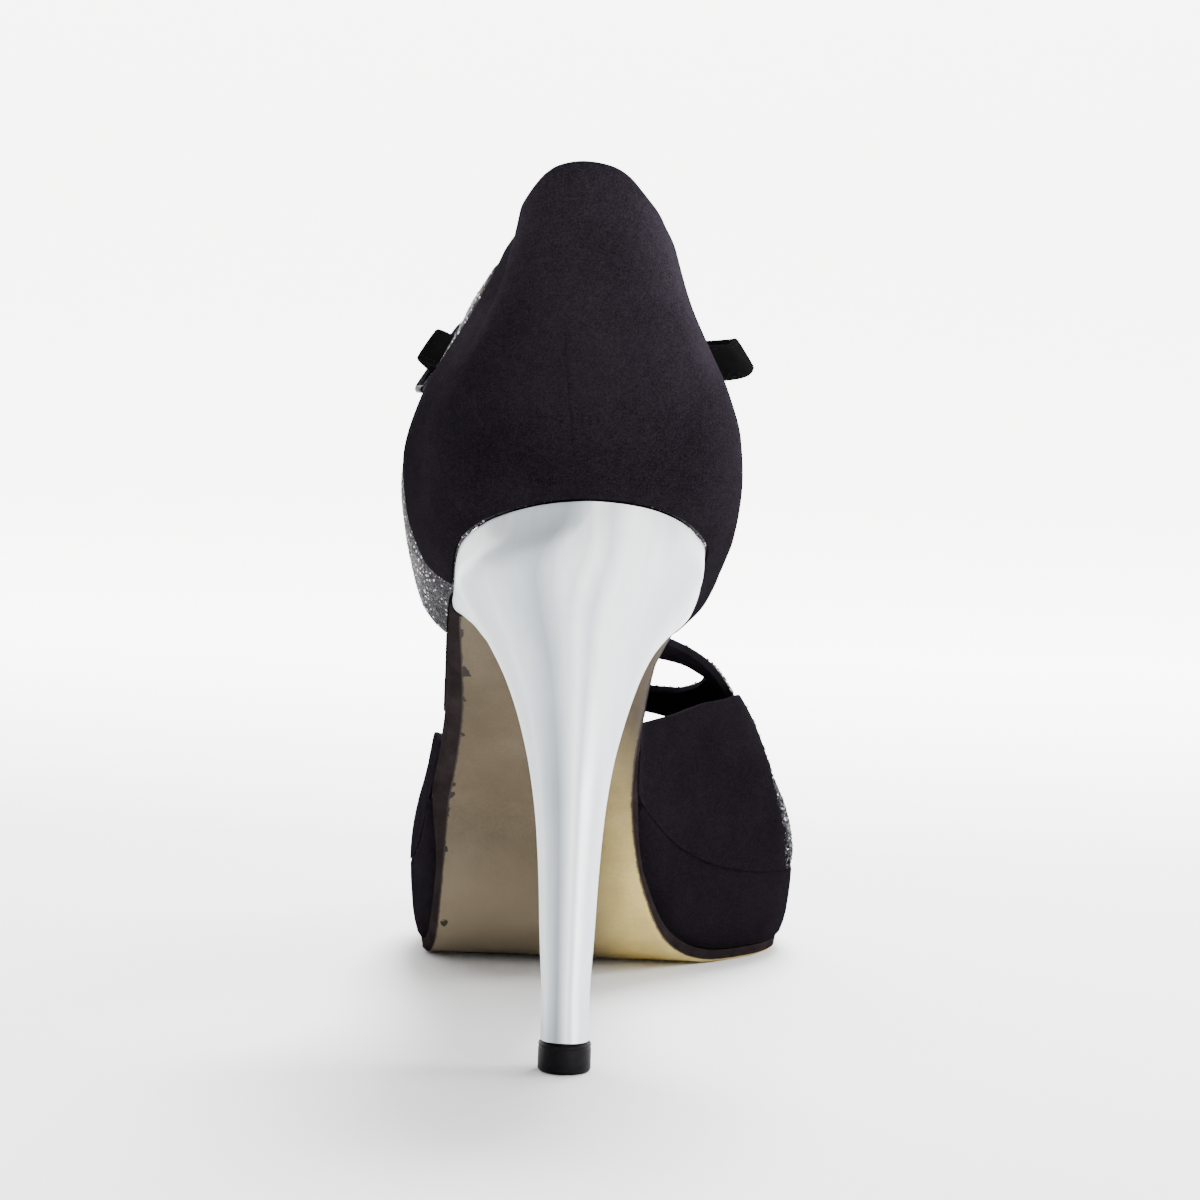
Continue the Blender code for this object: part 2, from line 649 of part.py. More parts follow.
def lean_across(side, lean):
    return Vector((-side * math.sin(lean), 0, math.cos(lean)))


# Buckle, square to the strap on the outer side of the ankle
BUCKLE_ALONG_FOOT = 0.330
BUCKLE_TURN = math.radians(-14)


class Buckle:
    # Axes of the buckle: along runs forward with the strap, across is up the leaning
    # strap, and out points away from the ankle.
    def __init__(self):
        self.centre = Vector((-ANKLE_WIDTH * 0.505, at(BUCKLE_ALONG_FOOT), STRAP_HEIGHT))
        forward = Vector((math.sin(BUCKLE_TURN), math.cos(BUCKLE_TURN), 0))
        across = lean_across(-1, BUCKLE_LEAN)
        self.across = (across - forward * across.dot(forward)).normalized()
        self.along = forward
        self.out = self.across.cross(self.along).normalized()
        if self.out.x > 0:
            self.out = -self.out

    def point(self, along, across, out):
        return self.centre + self.along * along + self.across * across + self.out * out


def wire(name, points, radius, cyclic):
    line = bpy.data.curves.new(name, "CURVE")
    line.dimensions = "3D"
    line.bevel_depth = radius
    line.bevel_resolution = 2
    line.use_fill_caps = not cyclic
    spline = line.splines.new("POLY")
    spline.points.add(len(points) - 1)
    for target, point in zip(spline.points, points):
        target.co = (*point, 1)
    spline.use_cyclic_u = cyclic
    return bpy.data.objects.new(name, line)


def build_buckle(folder, buckle, look):
    half_across = BUCKLE_ACROSS / 2 - BUCKLE_WIRE
    half_along = BUCKLE_ALONG / 2 - BUCKLE_WIRE
    corner = 2.2 * BUCKLE_WIRE
    points = []
    for start, (side, end) in enumerate(((1, 1), (1, -1), (-1, -1), (-1, 1))):
        for step in range(5):
            angle = math.radians(90 - 90 * start - 22.5 * step)
            points.append(buckle.point(end * (half_along - corner) + corner * math.sin(angle),
                                       side * (half_across - corner) + corner * math.cos(angle), 0))
    frame = wire("buckle", points, BUCKLE_WIRE, True)
    folder.objects.link(frame)
    paint(frame, look)
    return frame


def build_prong(folder, buckle, look):
    bar = -(BUCKLE_ALONG / 2 - BUCKLE_WIRE)
    hook = BUCKLE_WIRE + SEAT_GAP + PRONG_WIRE
    points = []
    for step in range(8):
        angle = math.radians(-200 + 290 * step / 7)
        points.append(buckle.point(bar + hook * math.cos(angle), 0, hook * math.sin(angle)))
    tip = BUCKLE_ALONG / 2 + 0.3 * BUCKLE_WIRE
    for share in (0.35, 0.7, 1.0):
        points.append(buckle.point(mix(bar, tip, share), 0, hook))
    prong = wire("buckle_prong", points, PRONG_WIRE, False)
    folder.objects.link(prong)
    paint(prong, look)
    return prong


def ear_point(side, along):
    # Middle of a strap lying against the inside of the quarter's ear, and its slope.
    turn = turn_at(along) * (-1 if side == "medial" else 1)
    rise = TOPLINE.read("rise", along) * COUNTER_HEIGHT + HEEL_HEIGHT - bed(at(along))
    middle = (STRAP_HEIGHT - bed(at(along))) / rise
    half = STRAP_WIDTH / 2 / rise
    depth = -(OVERLAY_STEP + UPPER_WALL + STRAP_GAP + STRAP_THICKNESS / 2)
    low = quarter_point(turn, middle - half, depth)
    high = quarter_point(turn, middle + half, depth)
    return (low + high) / 2, (high - low).normalized()


def ankle_path(buckle):
    # Over the instep, from inside the inner ear to the tip behind the buckle: shares of
    # half the ankle's width, of the strap's reach and of its rise, and the way it faces.
    half = ANKLE_WIDTH / 2
    rise = 0.03 * COUNTER_HEIGHT
    reach = at(STRAP_FRONT)
    route = [(0.820, 0.540, 0.40, 0.10), (0.900, 0.640, 1.30, 0.00), (0.850, 0.760, 1.30, -0.20),
             (0.660, 0.880, 1.10, -0.45), (0.340, 0.965, 1.00, -0.55), (-0.060, 1.000, 1.00, -0.60),
             (-0.450, 0.970, 0.90, -0.50), (-0.780, 0.880, 0.60, -0.35),
             (-0.950, 0.780, 0.24, -0.10)]
    path = [ear_point("medial", along) for along in (0.205, 0.225, 0.245, 0.262)]
    for x, y, z, back in route:
        lean = mix(BUCKLE_LEAN, STRAP_LEAN, smooth_step(-1, 0, x))
        across = Vector((-math.sin(lean) * x, math.sin(lean) * back, math.cos(lean)))
        path.append((Vector((half * x, reach * y, STRAP_HEIGHT + rise * z)),
                     across.normalized()))
    bar = BUCKLE_ALONG / 2 - BUCKLE_WIRE
    under = BUCKLE_WIRE + 2 * SEAT_GAP + STRAP_THICKNESS / 2
    over = BUCKLE_WIRE + 3 * SEAT_GAP + 1.5 * STRAP_THICKNESS
    level = 0.2 * bar
    for along, out in ((bar + 2.6 * level, -under), (bar - level, -under), (0.1 * bar, 0.3 * over),
                       (-0.55 * bar, 0.94 * over), (-bar - 0.3 * level, over),
                       (-bar - 4 * level, 0.7 * over), (-bar - 9 * level, 0.35 * over)):
        path.append((buckle.point(along, 0, out), buckle.across))
    return curve_through(path, 76)


def buckle_strap_path(buckle):
    # From inside the outer ear forward, then round the buckle's bar.
    bar = -(BUCKLE_ALONG / 2 - BUCKLE_WIRE)
    loop = BUCKLE_WIRE + SEAT_GAP + STRAP_THICKNESS / 2
    path = [ear_point("lateral", along) for along in (0.205, 0.225, 0.245, 0.262)]
    path.append((buckle.point(bar - 1.4 * STRAP_THICKNESS, 0, -loop), buckle.across))
    path = curve_through(path, 16)
    for step in range(10):
        angle = math.radians(-90 + 280 * step / 9)
        path.append((buckle.point(bar + loop * math.cos(angle), 0, loop * math.sin(angle)),
                     buckle.across))
    return path


def box_cutter(name, cutters, buckle, place, size):
    bpy.ops.mesh.primitive_cube_add(size=1, location=(0, 0, 0))
    cutter = bpy.context.object
    cutter.name = name
    for vertex in cutter.data.vertices:
        vertex.co = buckle.point(place[0] + vertex.co.x * size[0], place[1] + vertex.co.y * size[1],
                                 place[2] + vertex.co.z * size[2])
    form = bmesh.new()
    form.from_mesh(cutter.data)
    bmesh.ops.recalc_face_normals(form, faces=form.faces)
    form.to_mesh(cutter.data)
    form.free()
    cutter.hide_render = True
    cutter.display_type = "WIRE"
    for owner in list(cutter.users_collection):
        owner.objects.unlink(cutter)
    cutters.objects.link(cutter)
    return cutter


def cut_away(piece, cutter):
    cut = piece.modifiers.new(cutter.name, "BOOLEAN")
    cut.operation = "DIFFERENCE"
    cut.solver = "EXACT"
    cut.object = cutter


def build_straps(folder, cutters, looks):
    buckle = Buckle()
    bar = -(BUCKLE_ALONG / 2 - BUCKLE_WIRE)
    strap = ribbon("ankle_strap", folder, ankle_path(buckle), STRAP_WIDTH, STRAP_THICKNESS,
                   looks["leather"])
    short = ribbon("buckle_strap", folder, buckle_strap_path(buckle), STRAP_WIDTH, STRAP_THICKNESS,
                   looks["leather"])
    build_buckle(folder, buckle, looks["gunmetal"])
    build_prong(folder, buckle, looks["gunmetal"])
    hole_at = (bar + 0.36 * BUCKLE_ALONG, 0, 0.94 * STRAP_THICKNESS)
    hole_size = (0.6 * BUCKLE_ALONG, PRONG_SLOT, 2.8 * STRAP_THICKNESS)
    cut_away(strap, box_cutter("strap_hole", cutters, buckle, hole_at, hole_size))
    slot_size = (0.608 * BUCKLE_ALONG, PRONG_SLOT, 4.25 * STRAP_THICKNESS)
    cut_away(short, box_cutter("strap_slot", cutters, buckle, (bar + SEAT_GAP, 0, 0), slot_size))


LOOKS = {
    "suede": ((0.020, 0.019, 0.022), 0.95, 0.0),
    "glitter": ((0.090, 0.090, 0.100), 0.45, 0.2),
    "dark_glitter": ((0.020, 0.021, 0.024), 0.40, 0.2),
    "silver": ((0.80, 0.82, 0.83), 0.28, 1.0),
    "rubber": ((0.012, 0.012, 0.013), 0.60, 0.0),
    "sole_leather": ((0.42, 0.35, 0.22), 0.55, 0.0),
    "lining": ((0.030, 0.028, 0.030), 0.70, 0.0),
    "leather": ((0.015, 0.015, 0.016), 0.42, 0.0),
    "gunmetal": ((0.09, 0.09, 0.10), 0.25, 1.0),
}


def main():
    folders = place_scene()
    shoe = folders["dance_shoe"]
    cutters = folders["cutters"]
    toe = at(0.9985)
    plate("outsole", shoe, stations(at(0.2170), toe), outsole_section,
          LOOKS["sole_leather"])
    plate("platform", shoe, stations(at(0.462), toe), platform_section,
          LOOKS["suede"])
    marks = [at(share) for share in WAIST_START]
    plate("insole", shoe, stations(at(0.0190), toe, marks), insole_section, LOOKS["lining"])
    build_heel(shoe, LOOKS["silver"])
    build_tip(shoe, LOOKS["rubber"])
    build_quarter(shoe, LOOKS["glitter"])
    build_counter(shoe, LOOKS["suede"])
    build_vamp(shoe, cutters, LOOKS["dark_glitter"])
    build_panel("vamp_panel_medial", shoe, 0, PANEL_TOP_MEDIAL, LOOKS["suede"])
    build_panel("vamp_panel_lateral", shoe, PANEL_TOP_LATERAL, 180, LOOKS["suede"])
    build_straps(shoe, cutters, LOOKS)


main()
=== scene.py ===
import math

import bmesh
import bpy
from mathutils import Matrix, Vector


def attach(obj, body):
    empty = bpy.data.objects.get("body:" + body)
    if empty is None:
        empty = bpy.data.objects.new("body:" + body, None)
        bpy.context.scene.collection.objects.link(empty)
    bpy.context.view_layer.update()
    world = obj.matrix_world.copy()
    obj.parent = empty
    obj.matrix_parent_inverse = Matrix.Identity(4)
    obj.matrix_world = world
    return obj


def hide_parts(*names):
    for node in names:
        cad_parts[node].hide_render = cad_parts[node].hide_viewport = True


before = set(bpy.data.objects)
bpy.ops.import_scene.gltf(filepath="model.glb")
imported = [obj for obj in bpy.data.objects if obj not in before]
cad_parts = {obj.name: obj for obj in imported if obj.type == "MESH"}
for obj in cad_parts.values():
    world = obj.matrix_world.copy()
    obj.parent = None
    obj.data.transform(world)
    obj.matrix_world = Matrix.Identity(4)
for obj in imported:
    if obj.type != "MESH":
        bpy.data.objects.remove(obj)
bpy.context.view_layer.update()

# Left high-heeled ballroom sandal. Metres, +Y to the toe, +X to the inner side, +Z up,
# origin on the floor under the heel tip. The sizes repeat the construction's own.
shoe = {
    "length": 0.218, "overhang": 0.012, "halfBall": 0.042, "heelHeight": 0.1053,
    "forepart": 0.0196, "toeSpring": 0.0075, "soleSpring": 0.0102, "counter": 0.061,
    "instep": 0.050, "wall": 0.0016, "overlay": 0.0007, "gap": 0.0003,
    "insole": 0.004, "sole": 0.0027, "tipHeight": 0.0055,
}
overlayStep = shoe["overlay"] + shoe["gap"]


def mix(first, second, share):
    return first + (second - first) * share


def clamp(value, low=0.0, high=1.0):
    return min(high, max(low, value))


def easeStep(low, high, value):
    share = clamp((value - low) / (high - low))
    return share * share * (3 - 2 * share)


def endKey(value):
    return math.acos(clamp(1 - 2 * value, -1, 1)) / math.pi


def makeCurve(rows, column, roundEnds=False):
    # A smooth reader of one column that never overshoots its rows, sampled once.
    keys = [endKey(row[0]) if roundEnds else row[0] for row in rows]
    values = [row[column] for row in rows]
    slopes = []
    for row in range(len(keys)):
        if row in (0, len(keys) - 1):
            near = max(1, row)
            slopes.append((values[near] - values[near - 1]) / (keys[near] - keys[near - 1]))
            continue
        before = (values[row] - values[row - 1]) / (keys[row] - keys[row - 1])
        after = (values[row + 1] - values[row]) / (keys[row + 1] - keys[row])
        slopes.append(0.0 if before * after <= 0 else 2 * before * after / (before + after))
    samples = []
    count = 1200
    row = 0
    for step in range(count + 1):
        key = mix(keys[0], keys[-1], step / count)
        while row < len(keys) - 2 and key > keys[row + 1]:
            row += 1
        width = keys[row + 1] - keys[row]
        share = (key - keys[row]) / width
        square = share * share
        cube = square * share
        samples.append(values[row] * (2 * cube - 3 * square + 1)
                       + slopes[row] * width * (cube - 2 * square + share)
                       + values[row + 1] * (3 * square - 2 * cube)
                       + slopes[row + 1] * width * (cube - square))
    first, last = keys[0], keys[-1]

    def read(value):
        key = endKey(value) if roundEnds else value
        place = clamp((key - first) / (last - first)) * count
        low = min(count - 1, int(place))
        return mix(samples[low], samples[low + 1], place - low)

    return read


def makeCurves(names, rows, roundEnds=False):
    return {name: makeCurve(rows, column, roundEnds)
            for column, name in enumerate(names.split()[1:], start=1)}


# Plan of the feather line: share of the length, shares of half the ball width
feather = makeCurves("along medial lateral", [
    (0.000, 0.065, 0.065), (0.018, 0.352, -0.226), (0.055, 0.490, -0.432),
    (0.101, 0.552, -0.550), (0.147, 0.535, -0.595), (0.193, 0.490, -0.620),
    (0.216, 0.455, -0.638), (0.239, 0.410, -0.655), (0.257, 0.372, -0.665),
    (0.284, 0.322, -0.679), (0.349, 0.264, -0.712), (0.399, 0.238, -0.757),
    (0.445, 0.231, -0.810), (0.491, 0.333, -0.862), (0.537, 0.476, -0.912),
    (0.583, 0.655, -0.960), (0.628, 0.838, -0.995), (0.674, 0.980, -0.995),
    (0.720, 1.024, -0.976), (0.766, 0.996, -0.910), (0.835, 0.900, -0.765),
    (0.904, 0.742, -0.575), (0.950, 0.605, -0.400), (0.986, 0.410, -0.140),
    (1.000, 0.160, 0.160)], roundEnds=True)

# Bed of the foot: share of the rise from forepart to seat, share of the toe spring
bedShape = makeCurves("along arch spring", [
    (0.000, 1.000, 0.00), (0.055, 0.942, 0.00), (0.147, 0.839, 0.00), (0.216, 0.746, 0.00),
    (0.284, 0.617, 0.00), (0.353, 0.471, 0.00), (0.399, 0.366, 0.00), (0.445, 0.261, 0.00),
    (0.491, 0.162, 0.00), (0.537, 0.086, 0.00), (0.583, 0.037, 0.00), (0.628, 0.012, 0.00),
    (0.674, 0.002, 0.00), (0.743, 0.000, 0.00), (0.835, 0.000, 0.12), (0.927, 0.000, 0.45),
    (1.000, 0.000, 0.90)])

# Underside: drop from shank to floor, lift at the toe, inset of the tread's edges
treadShape = makeCurves("along depth lift medial lateral welt", [
    (0.200, 0.000, 0.00, 0.060, 0.045, 0.10), (0.330, 0.000, 0.00, 0.040, 0.085, 0.10),
    (0.445, 0.000, 0.00, 0.090, 0.090, 0.10), (0.491, 0.350, 0.00, 0.097, 0.095, 0.72),
    (0.537, 0.690, 0.00, 0.140, 0.105, 0.72), (0.560, 0.810, 0.00, 0.170, 0.110, 0.72),
    (0.585, 0.920, 0.00, 0.190, 0.108, 0.72), (0.610, 0.985, 0.00, 0.185, 0.100, 0.72),
    (0.638, 1.000, 0.00, 0.170, 0.095, 0.72), (0.743, 1.000, 0.00, 0.100, 0.090, 0.72),
    (0.812, 1.000, 0.10, 0.090, 0.090, 0.72), (0.881, 1.000, 0.33, 0.090, 0.090, 0.72),
    (0.950, 1.000, 0.65, 0.090, 0.090, 0.72), (1.000, 1.000, 1.00, 0.060, 0.060, 0.72)])

# Quarter wall: share of the counter height, how far it stands outside the feather line
wallShape = makeCurves("height back medial lateral medialFront lateralFront", [
    (0.000, 0.000, 0.000, 0.000, 0.000, 0.000), (0.035, 0.030, 0.060, 0.050, 0.078, 0.060),
    (0.100, 0.062, 0.126, 0.108, 0.160, 0.122), (0.213, 0.095, 0.142, 0.133, 0.232, 0.172),
    (0.328, 0.102, 0.130, 0.136, 0.256, 0.208), (0.459, 0.086, 0.074, 0.088, 0.260, 0.230),
    (0.590, 0.052, -0.018, -0.006, 0.218, 0.186), (0.721, 0.005, -0.106, -0.106, 0.152, 0.086),
    (0.852, -0.052, -0.168, -0.162, 0.092, -0.018), (0.984, -0.110, -0.222, -0.210, 0.018, -0.098)])

topLine = makeCurve([
    (0.000, 0.988), (0.005, 0.974), (0.010, 0.954), (0.016, 0.927), (0.022, 0.901),
    (0.028, 0.879), (0.041, 0.846), (0.055, 0.815), (0.078, 0.764), (0.092, 0.728),
    (0.110, 0.683), (0.147, 0.607), (0.193, 0.544), (0.232, 0.502), (0.250, 0.462),
    (0.262, 0.380)], 1)

counterEdge = makeCurves("height medial lateral", [
    (0.00, 0.252, 0.190), (0.12, 0.252, 0.207), (0.35, 0.248, 0.230),
    (0.60, 0.230, 0.218), (0.82, 0.168, 0.152), (1.00, 0.105, 0.090)])

# Vamp: ridge height and squareness along the foot
ridge = makeCurves("along rise medial lateral", [
    (0.399, 0.920, 5.2, 2.0), (0.491, 1.020, 5.8, 2.0), (0.550, 1.000, 6.5, 2.0),
    (0.596, 0.950, 6.0, 2.0), (0.628, 0.905, 4.4, 2.0), (0.674, 0.826, 2.4, 2.1),
    (0.720, 0.738, 2.1, 2.1), (0.766, 0.650, 2.1, 2.1), (0.835, 0.530, 2.1, 2.1)])

vampEdge = makeCurves("turn rear front panel", [
    (0, 0.395, 0.826, 0.702), (15, 0.445, 0.815, 0.684), (32, 0.540, 0.800, 0.652),
    (40, 0.600, 0.782, 0.634), (44, 0.620, 0.775, 0.632), (48, 0.598, 0.768, 0.632),
    (57, 0.572, 0.758, 0.632), (66, 0.558, 0.750, 0.632), (90, 0.550, 0.743, 0.632),
    (124, 0.558, 0.755, 0.640), (136, 0.572, 0.768, 0.640), (144, 0.596, 0.780, 0.640),
    (148, 0.614, 0.788, 0.640), (151, 0.598, 0.795, 0.644), (157, 0.532, 0.808, 0.664),
    (168, 0.442, 0.824, 0.698), (180, 0.390, 0.835, 0.716)])

# Window between the bands: its rear and front edge over the foot, equal outside it
windowEdge = makeCurves("turn rear front", [
    (0, 0.700, 0.700), (40, 0.640, 0.640), (54, 0.631, 0.631), (60, 0.613, 0.652),
    (70, 0.602, 0.676), (80, 0.599, 0.687), (90, 0.598, 0.690), (100, 0.599, 0.689),
    (112, 0.604, 0.680), (124, 0.621, 0.660), (132, 0.641, 0.641), (150, 0.650, 0.650),
    (180, 0.714, 0.714)])

heelShape = makeCurves("step backHeight breastHeight back breast width flat seat shift", [
    (0, 0.000, 0.000, -0.119, 0.119, 0.107, 0.45, 0.0, 0.000),
    (1, 0.077, 0.077, -0.112, 0.126, 0.106, 0.45, 0.0, -0.004),
    (2, 0.188, 0.183, -0.100, 0.150, 0.119, 0.45, 0.0, -0.006),
    (3, 0.299, 0.289, -0.088, 0.188, 0.131, 0.48, 0.0, -0.008),
    (4, 0.411, 0.390, -0.076, 0.226, 0.150, 0.50, 0.0, -0.011),
    (5, 0.512, 0.481, -0.064, 0.290, 0.183, 0.55, 0.0, -0.016),
    (6, 0.603, 0.557, -0.071, 0.369, 0.231, 0.60, 0.0, -0.020),
    (7, 0.684, 0.623, -0.102, 0.460, 0.290, 0.66, 0.0, -0.026),
    (8, 0.764, 0.678, -0.157, 0.557, 0.364, 0.74, 0.0, -0.036),
    (9, 0.845, 0.724, -0.214, 0.667, 0.452, 0.82, 0.1, -0.046),
    (10, 0.911, 0.752, -0.257, 0.757, 0.520, 0.90, 0.4, -0.046),
    (11, 0.962, 0.766, -0.281, 0.810, 0.552, 0.96, 0.8, -0.030),
    (12, 1.000, 0.780, -0.286, 0.833, 0.566, 1.00, 1.0, -0.020)])


def at(share):
    return share * shoe["length"] - shoe["overhang"]


def shareOf(y):
    return (y + shoe["overhang"]) / shoe["length"]


def bedHeight(y):
    along = shareOf(y)
    rise = bedShape["arch"](along) * (shoe["heelHeight"] - shoe["forepart"])
    return shoe["forepart"] + rise + bedShape["spring"](along) * shoe["toeSpring"]


def featherX(y, side):
    return feather[side](shareOf(y)) * shoe["halfBall"]


def treadHeight(y):
    along = shareOf(y)
    shank = bedHeight(y) - shoe["gap"] - shoe["sole"]
    return mix(shank, shoe["soleSpring"] * treadShape["lift"](along), treadShape["depth"](along))


# Small tools for meshes
def deselectAll():
    if bpy.context.object and bpy.context.object.mode != "OBJECT":
        bpy.ops.object.mode_set(mode="OBJECT")
    bpy.ops.object.select_all(action="DESELECT")


def makeActive(piece):
    deselectAll()
    piece.select_set(True)
    bpy.context.view_layer.objects.active = piece


def applyModifier(piece, kind, **settings):
    makeActive(piece)
    modifier = piece.modifiers.new(kind.lower(), kind)
    for key, value in settings.items():
        setattr(modifier, key, value)
    bpy.ops.object.modifier_apply(modifier=modifier.name)


def bevelEdges(piece, width, angle, segments=2):
    applyModifier(piece, "BEVEL", width=width, segments=segments, limit_method="ANGLE",
                  angle_limit=math.radians(angle))


def smoothShade(piece, angle):
    makeActive(piece)
    bpy.ops.object.shade_smooth_by_angle(angle=math.radians(angle))


def gridPiece(name, across, along, place):
    # A flat grid is added and each of its points is moved to its place on the surface.
    deselectAll()
    bpy.ops.mesh.primitive_grid_add(x_subdivisions=across, y_subdivisions=along, size=1)
    piece = bpy.context.object
    piece.name = name
    piece.data.name = name
    for vertex in piece.data.vertices:
        vertex.co = place(vertex.co.x + 0.5, vertex.co.y + 0.5)
    return piece


def weldAndFill(piece, fill=True, outward=True):
    makeActive(piece)
    bpy.ops.object.mode_set(mode="EDIT")
    bpy.ops.mesh.select_all(action="SELECT")
    bpy.ops.mesh.remove_doubles(threshold=1e-6)
    if fill:
        bpy.ops.mesh.fill_holes(sides=0)
    if outward:
        bpy.ops.mesh.select_all(action="SELECT")
        bpy.ops.mesh.normals_make_consistent(inside=False)
    bpy.ops.object.mode_set(mode="OBJECT")


def faceOutward(piece):
    # An open skin is turned so that its faces look away from its own middle.
    middle = sum((vertex.co for vertex in piece.data.vertices), Vector()) / len(piece.data.vertices)
    outward = sum((polygon.center - middle).dot(polygon.normal) for polygon in piece.data.polygons)
    if outward < 0:
        piece.data.flip_normals()


def storeValue(piece, name, valueAt):
    layer = piece.data.attributes.new(name, "FLOAT", "POINT")
    for vertex, item in zip(piece.data.vertices, layer.data):
        item.value = valueAt(vertex)


# Small tools for shaders
def feed(tree, node, sockets):
    # Each input takes a value or another node's output.
    for label, value in sockets.items():
        if isinstance(value, bpy.types.NodeSocket):
            tree.links.new(value, node.inputs[label])
        else:
            node.inputs[label].default_value = value


def addNode(tree, kind, sockets=None, **settings):
    node = tree.nodes.new(kind)
    for key, value in settings.items():
        setattr(node, key, value)
    feed(tree, node, sockets or {})
    return node


def objectPlace(tree):
    return addNode(tree, "ShaderNodeTexCoord").outputs["Object"]


def splitAxes(tree, place):
    return addNode(tree, "ShaderNodeSeparateXYZ", {0: place}).outputs


def mixColour(tree, factor, first, second, blend="MIX"):
    return addNode(tree, "ShaderNodeMix", {0: factor, 6: first, 7: second}, data_type="RGBA",
                   blend_type=blend).outputs[2]


def scaleColour(tree, colour, factor):
    return addNode(tree, "ShaderNodeVectorMath", {0: colour, "Scale": factor},
                   operation="SCALE").outputs[0]


def mathNode(tree, operation, first, second=0.0, third=0.0, limit=False):
    return addNode(tree, "ShaderNodeMath", {0: first, 1: second, 2: third}, operation=operation,
                   use_clamp=limit).outputs[0]


def product(tree, first, *others):
    for other in others:
        first = mathNode(tree, "MULTIPLY", first, other)
    return first


def slopeNode(tree, value, slope, start, limit=False):
    return mathNode(tree, "MULTIPLY_ADD", value, slope, start, limit)


def fadeNode(tree, distance, reach, start=1.0):
    # full near zero and nothing past the reach
    return mathNode(tree, "SUBTRACT", start, mathNode(tree, "DIVIDE", distance, reach), limit=True)


def rampNode(tree, source, stops):
    node = addNode(tree, "ShaderNodeValToRGB", {0: source})
    while len(node.color_ramp.elements) < len(stops):
        node.color_ramp.elements.new(0.5)
    for element, (place, colour) in zip(node.color_ramp.elements, stops):
        element.position = place
        element.color = (*colour, 1)
    return node.outputs[0]


def noiseNode(tree, vector, scale, detail=3.0, rough=0.55):
    return addNode(tree, "ShaderNodeTexNoise", {
        "Vector": vector, "Scale": scale, "Detail": detail, "Roughness": rough}).outputs["Fac"]


# Shader groups that several finishes share
def newGroup(name, inputs, outputs):
    # The inputs come with their first values, and a tuple is a colour.
    group = bpy.data.node_groups.new(name, "ShaderNodeTree")
    for label, value in inputs.items():
        kind = "NodeSocketColor" if isinstance(value, tuple) else "NodeSocketFloat"
        socket = group.interface.new_socket(name=label, in_out="INPUT", socket_type=kind)
        socket.default_value = value
    for label in outputs:
        kind = "NodeSocketColor" if label == "Colour" else "NodeSocketFloat"
        group.interface.new_socket(name=label, in_out="OUTPUT", socket_type=kind)
    return group, group.nodes.new("NodeGroupInput").outputs, group.nodes.new("NodeGroupOutput")


def buildNapGroup():
    # Brushed nap: broad lighter and darker strokes, small patches and fine fibres.
    group, entry, leave = newGroup(
        "suedeNap", {"Dark": (0.014, 0.012, 0.016, 1), "Light": (0.034, 0.031, 0.036, 1)},
        ("Colour", "Height", "Roughness"))
    place = objectPlace(group)
    strokes = noiseNode(group, place, 38)
    patches = noiseNode(group, place, 700, 4.0, 0.7)
    fibres = noiseNode(group, place, 3400, 2.0, 0.6)
    tone = mathNode(group, "ADD", product(group, strokes, 0.40), product(group, patches, 0.20))
    tone = slopeNode(group, fibres, 0.75, mathNode(group, "SUBTRACT", tone, 0.17))
    spread = rampNode(group, tone, [(0.34, (0, 0, 0)), (0.70, (1, 1, 1))])
    feed(group, leave, {"Colour": mixColour(group, spread, entry["Dark"], entry["Light"]),
                        "Height": slopeNode(group, patches, 0.5, fibres),
                        "Roughness": slopeNode(group, patches, 0.10, 0.86)})
    return group


def buildFlakeGroup():
    # Glitter: each cell is one flake with its own tone, and a few catch the light.
    group, entry, leave = newGroup(
        "glitterFlakes", {"Base": (0.02, 0.02, 0.024, 1), "Flake": (0.25, 0.25, 0.27, 1),
                          "Spark": (0.9, 0.92, 0.95, 1), "Scale": 2200.0, "Sparks": 0.06},
        ("Colour", "Height", "Roughness", "Metallic"))
    cells = addNode(group, "ShaderNodeTexVoronoi",
                    {"Vector": objectPlace(group), "Scale": entry["Scale"]}).outputs
    parts = addNode(group, "ShaderNodeSeparateColor", {0: cells["Color"]}).outputs
    tone = mathNode(group, "POWER", parts[0], 1.7)
    lit = mathNode(group, "LESS_THAN", parts[1], entry["Sparks"])
    flake = mixColour(group, tone, entry["Base"], entry["Flake"])
    spark = mixColour(group, 0.25, entry["Spark"], cells["Color"])
    height = mathNode(group, "ADD", product(group, cells["Distance"], -0.8),
                      product(group, parts[2], 0.9))
    feed(group, leave, {"Colour": mixColour(group, lit, flake, spark), "Height": height,
                        "Roughness": slopeNode(group, parts[1], 0.35, 0.34),
                        "Metallic": slopeNode(group, lit, 0.75, 0.1)})
    return group


def buildGrainGroup():
    # Fine leather grain: small pebbles over long soft wrinkles.
    group, entry, leave = newGroup(
        "leatherGrain", {"Dark": (0.01, 0.01, 0.011, 1), "Light": (0.03, 0.03, 0.032, 1),
                         "Scale": 900.0},
        ("Colour", "Height", "Roughness"))
    place = objectPlace(group)
    cells = addNode(group, "ShaderNodeTexVoronoi", {"Vector": place, "Scale": entry["Scale"]})
    soft = noiseNode(group, place, 160, 4.0, 0.6)
    tone = rampNode(group, soft, [(0.15, (0, 0, 0)), (0.85, (1, 1, 1))])
    feed(group, leave, {"Colour": mixColour(group, tone, entry["Dark"], entry["Light"]),
                        "Height": slopeNode(group, soft, 0.8, cells.outputs["Distance"]),
                        "Roughness": slopeNode(group, soft, 0.25, 0.34)})
    return group


napGroup = buildNapGroup()
flakeGroup = buildFlakeGroup()
grainGroup = buildGrainGroup()


# Finishes
def newFinish(name, sockets):
    material = bpy.data.materials.new(name)
    material.use_nodes = True
    shader = material.node_tree.nodes["Principled BSDF"]
    feed(material.node_tree, shader, sockets)
    return material, material.node_tree, shader


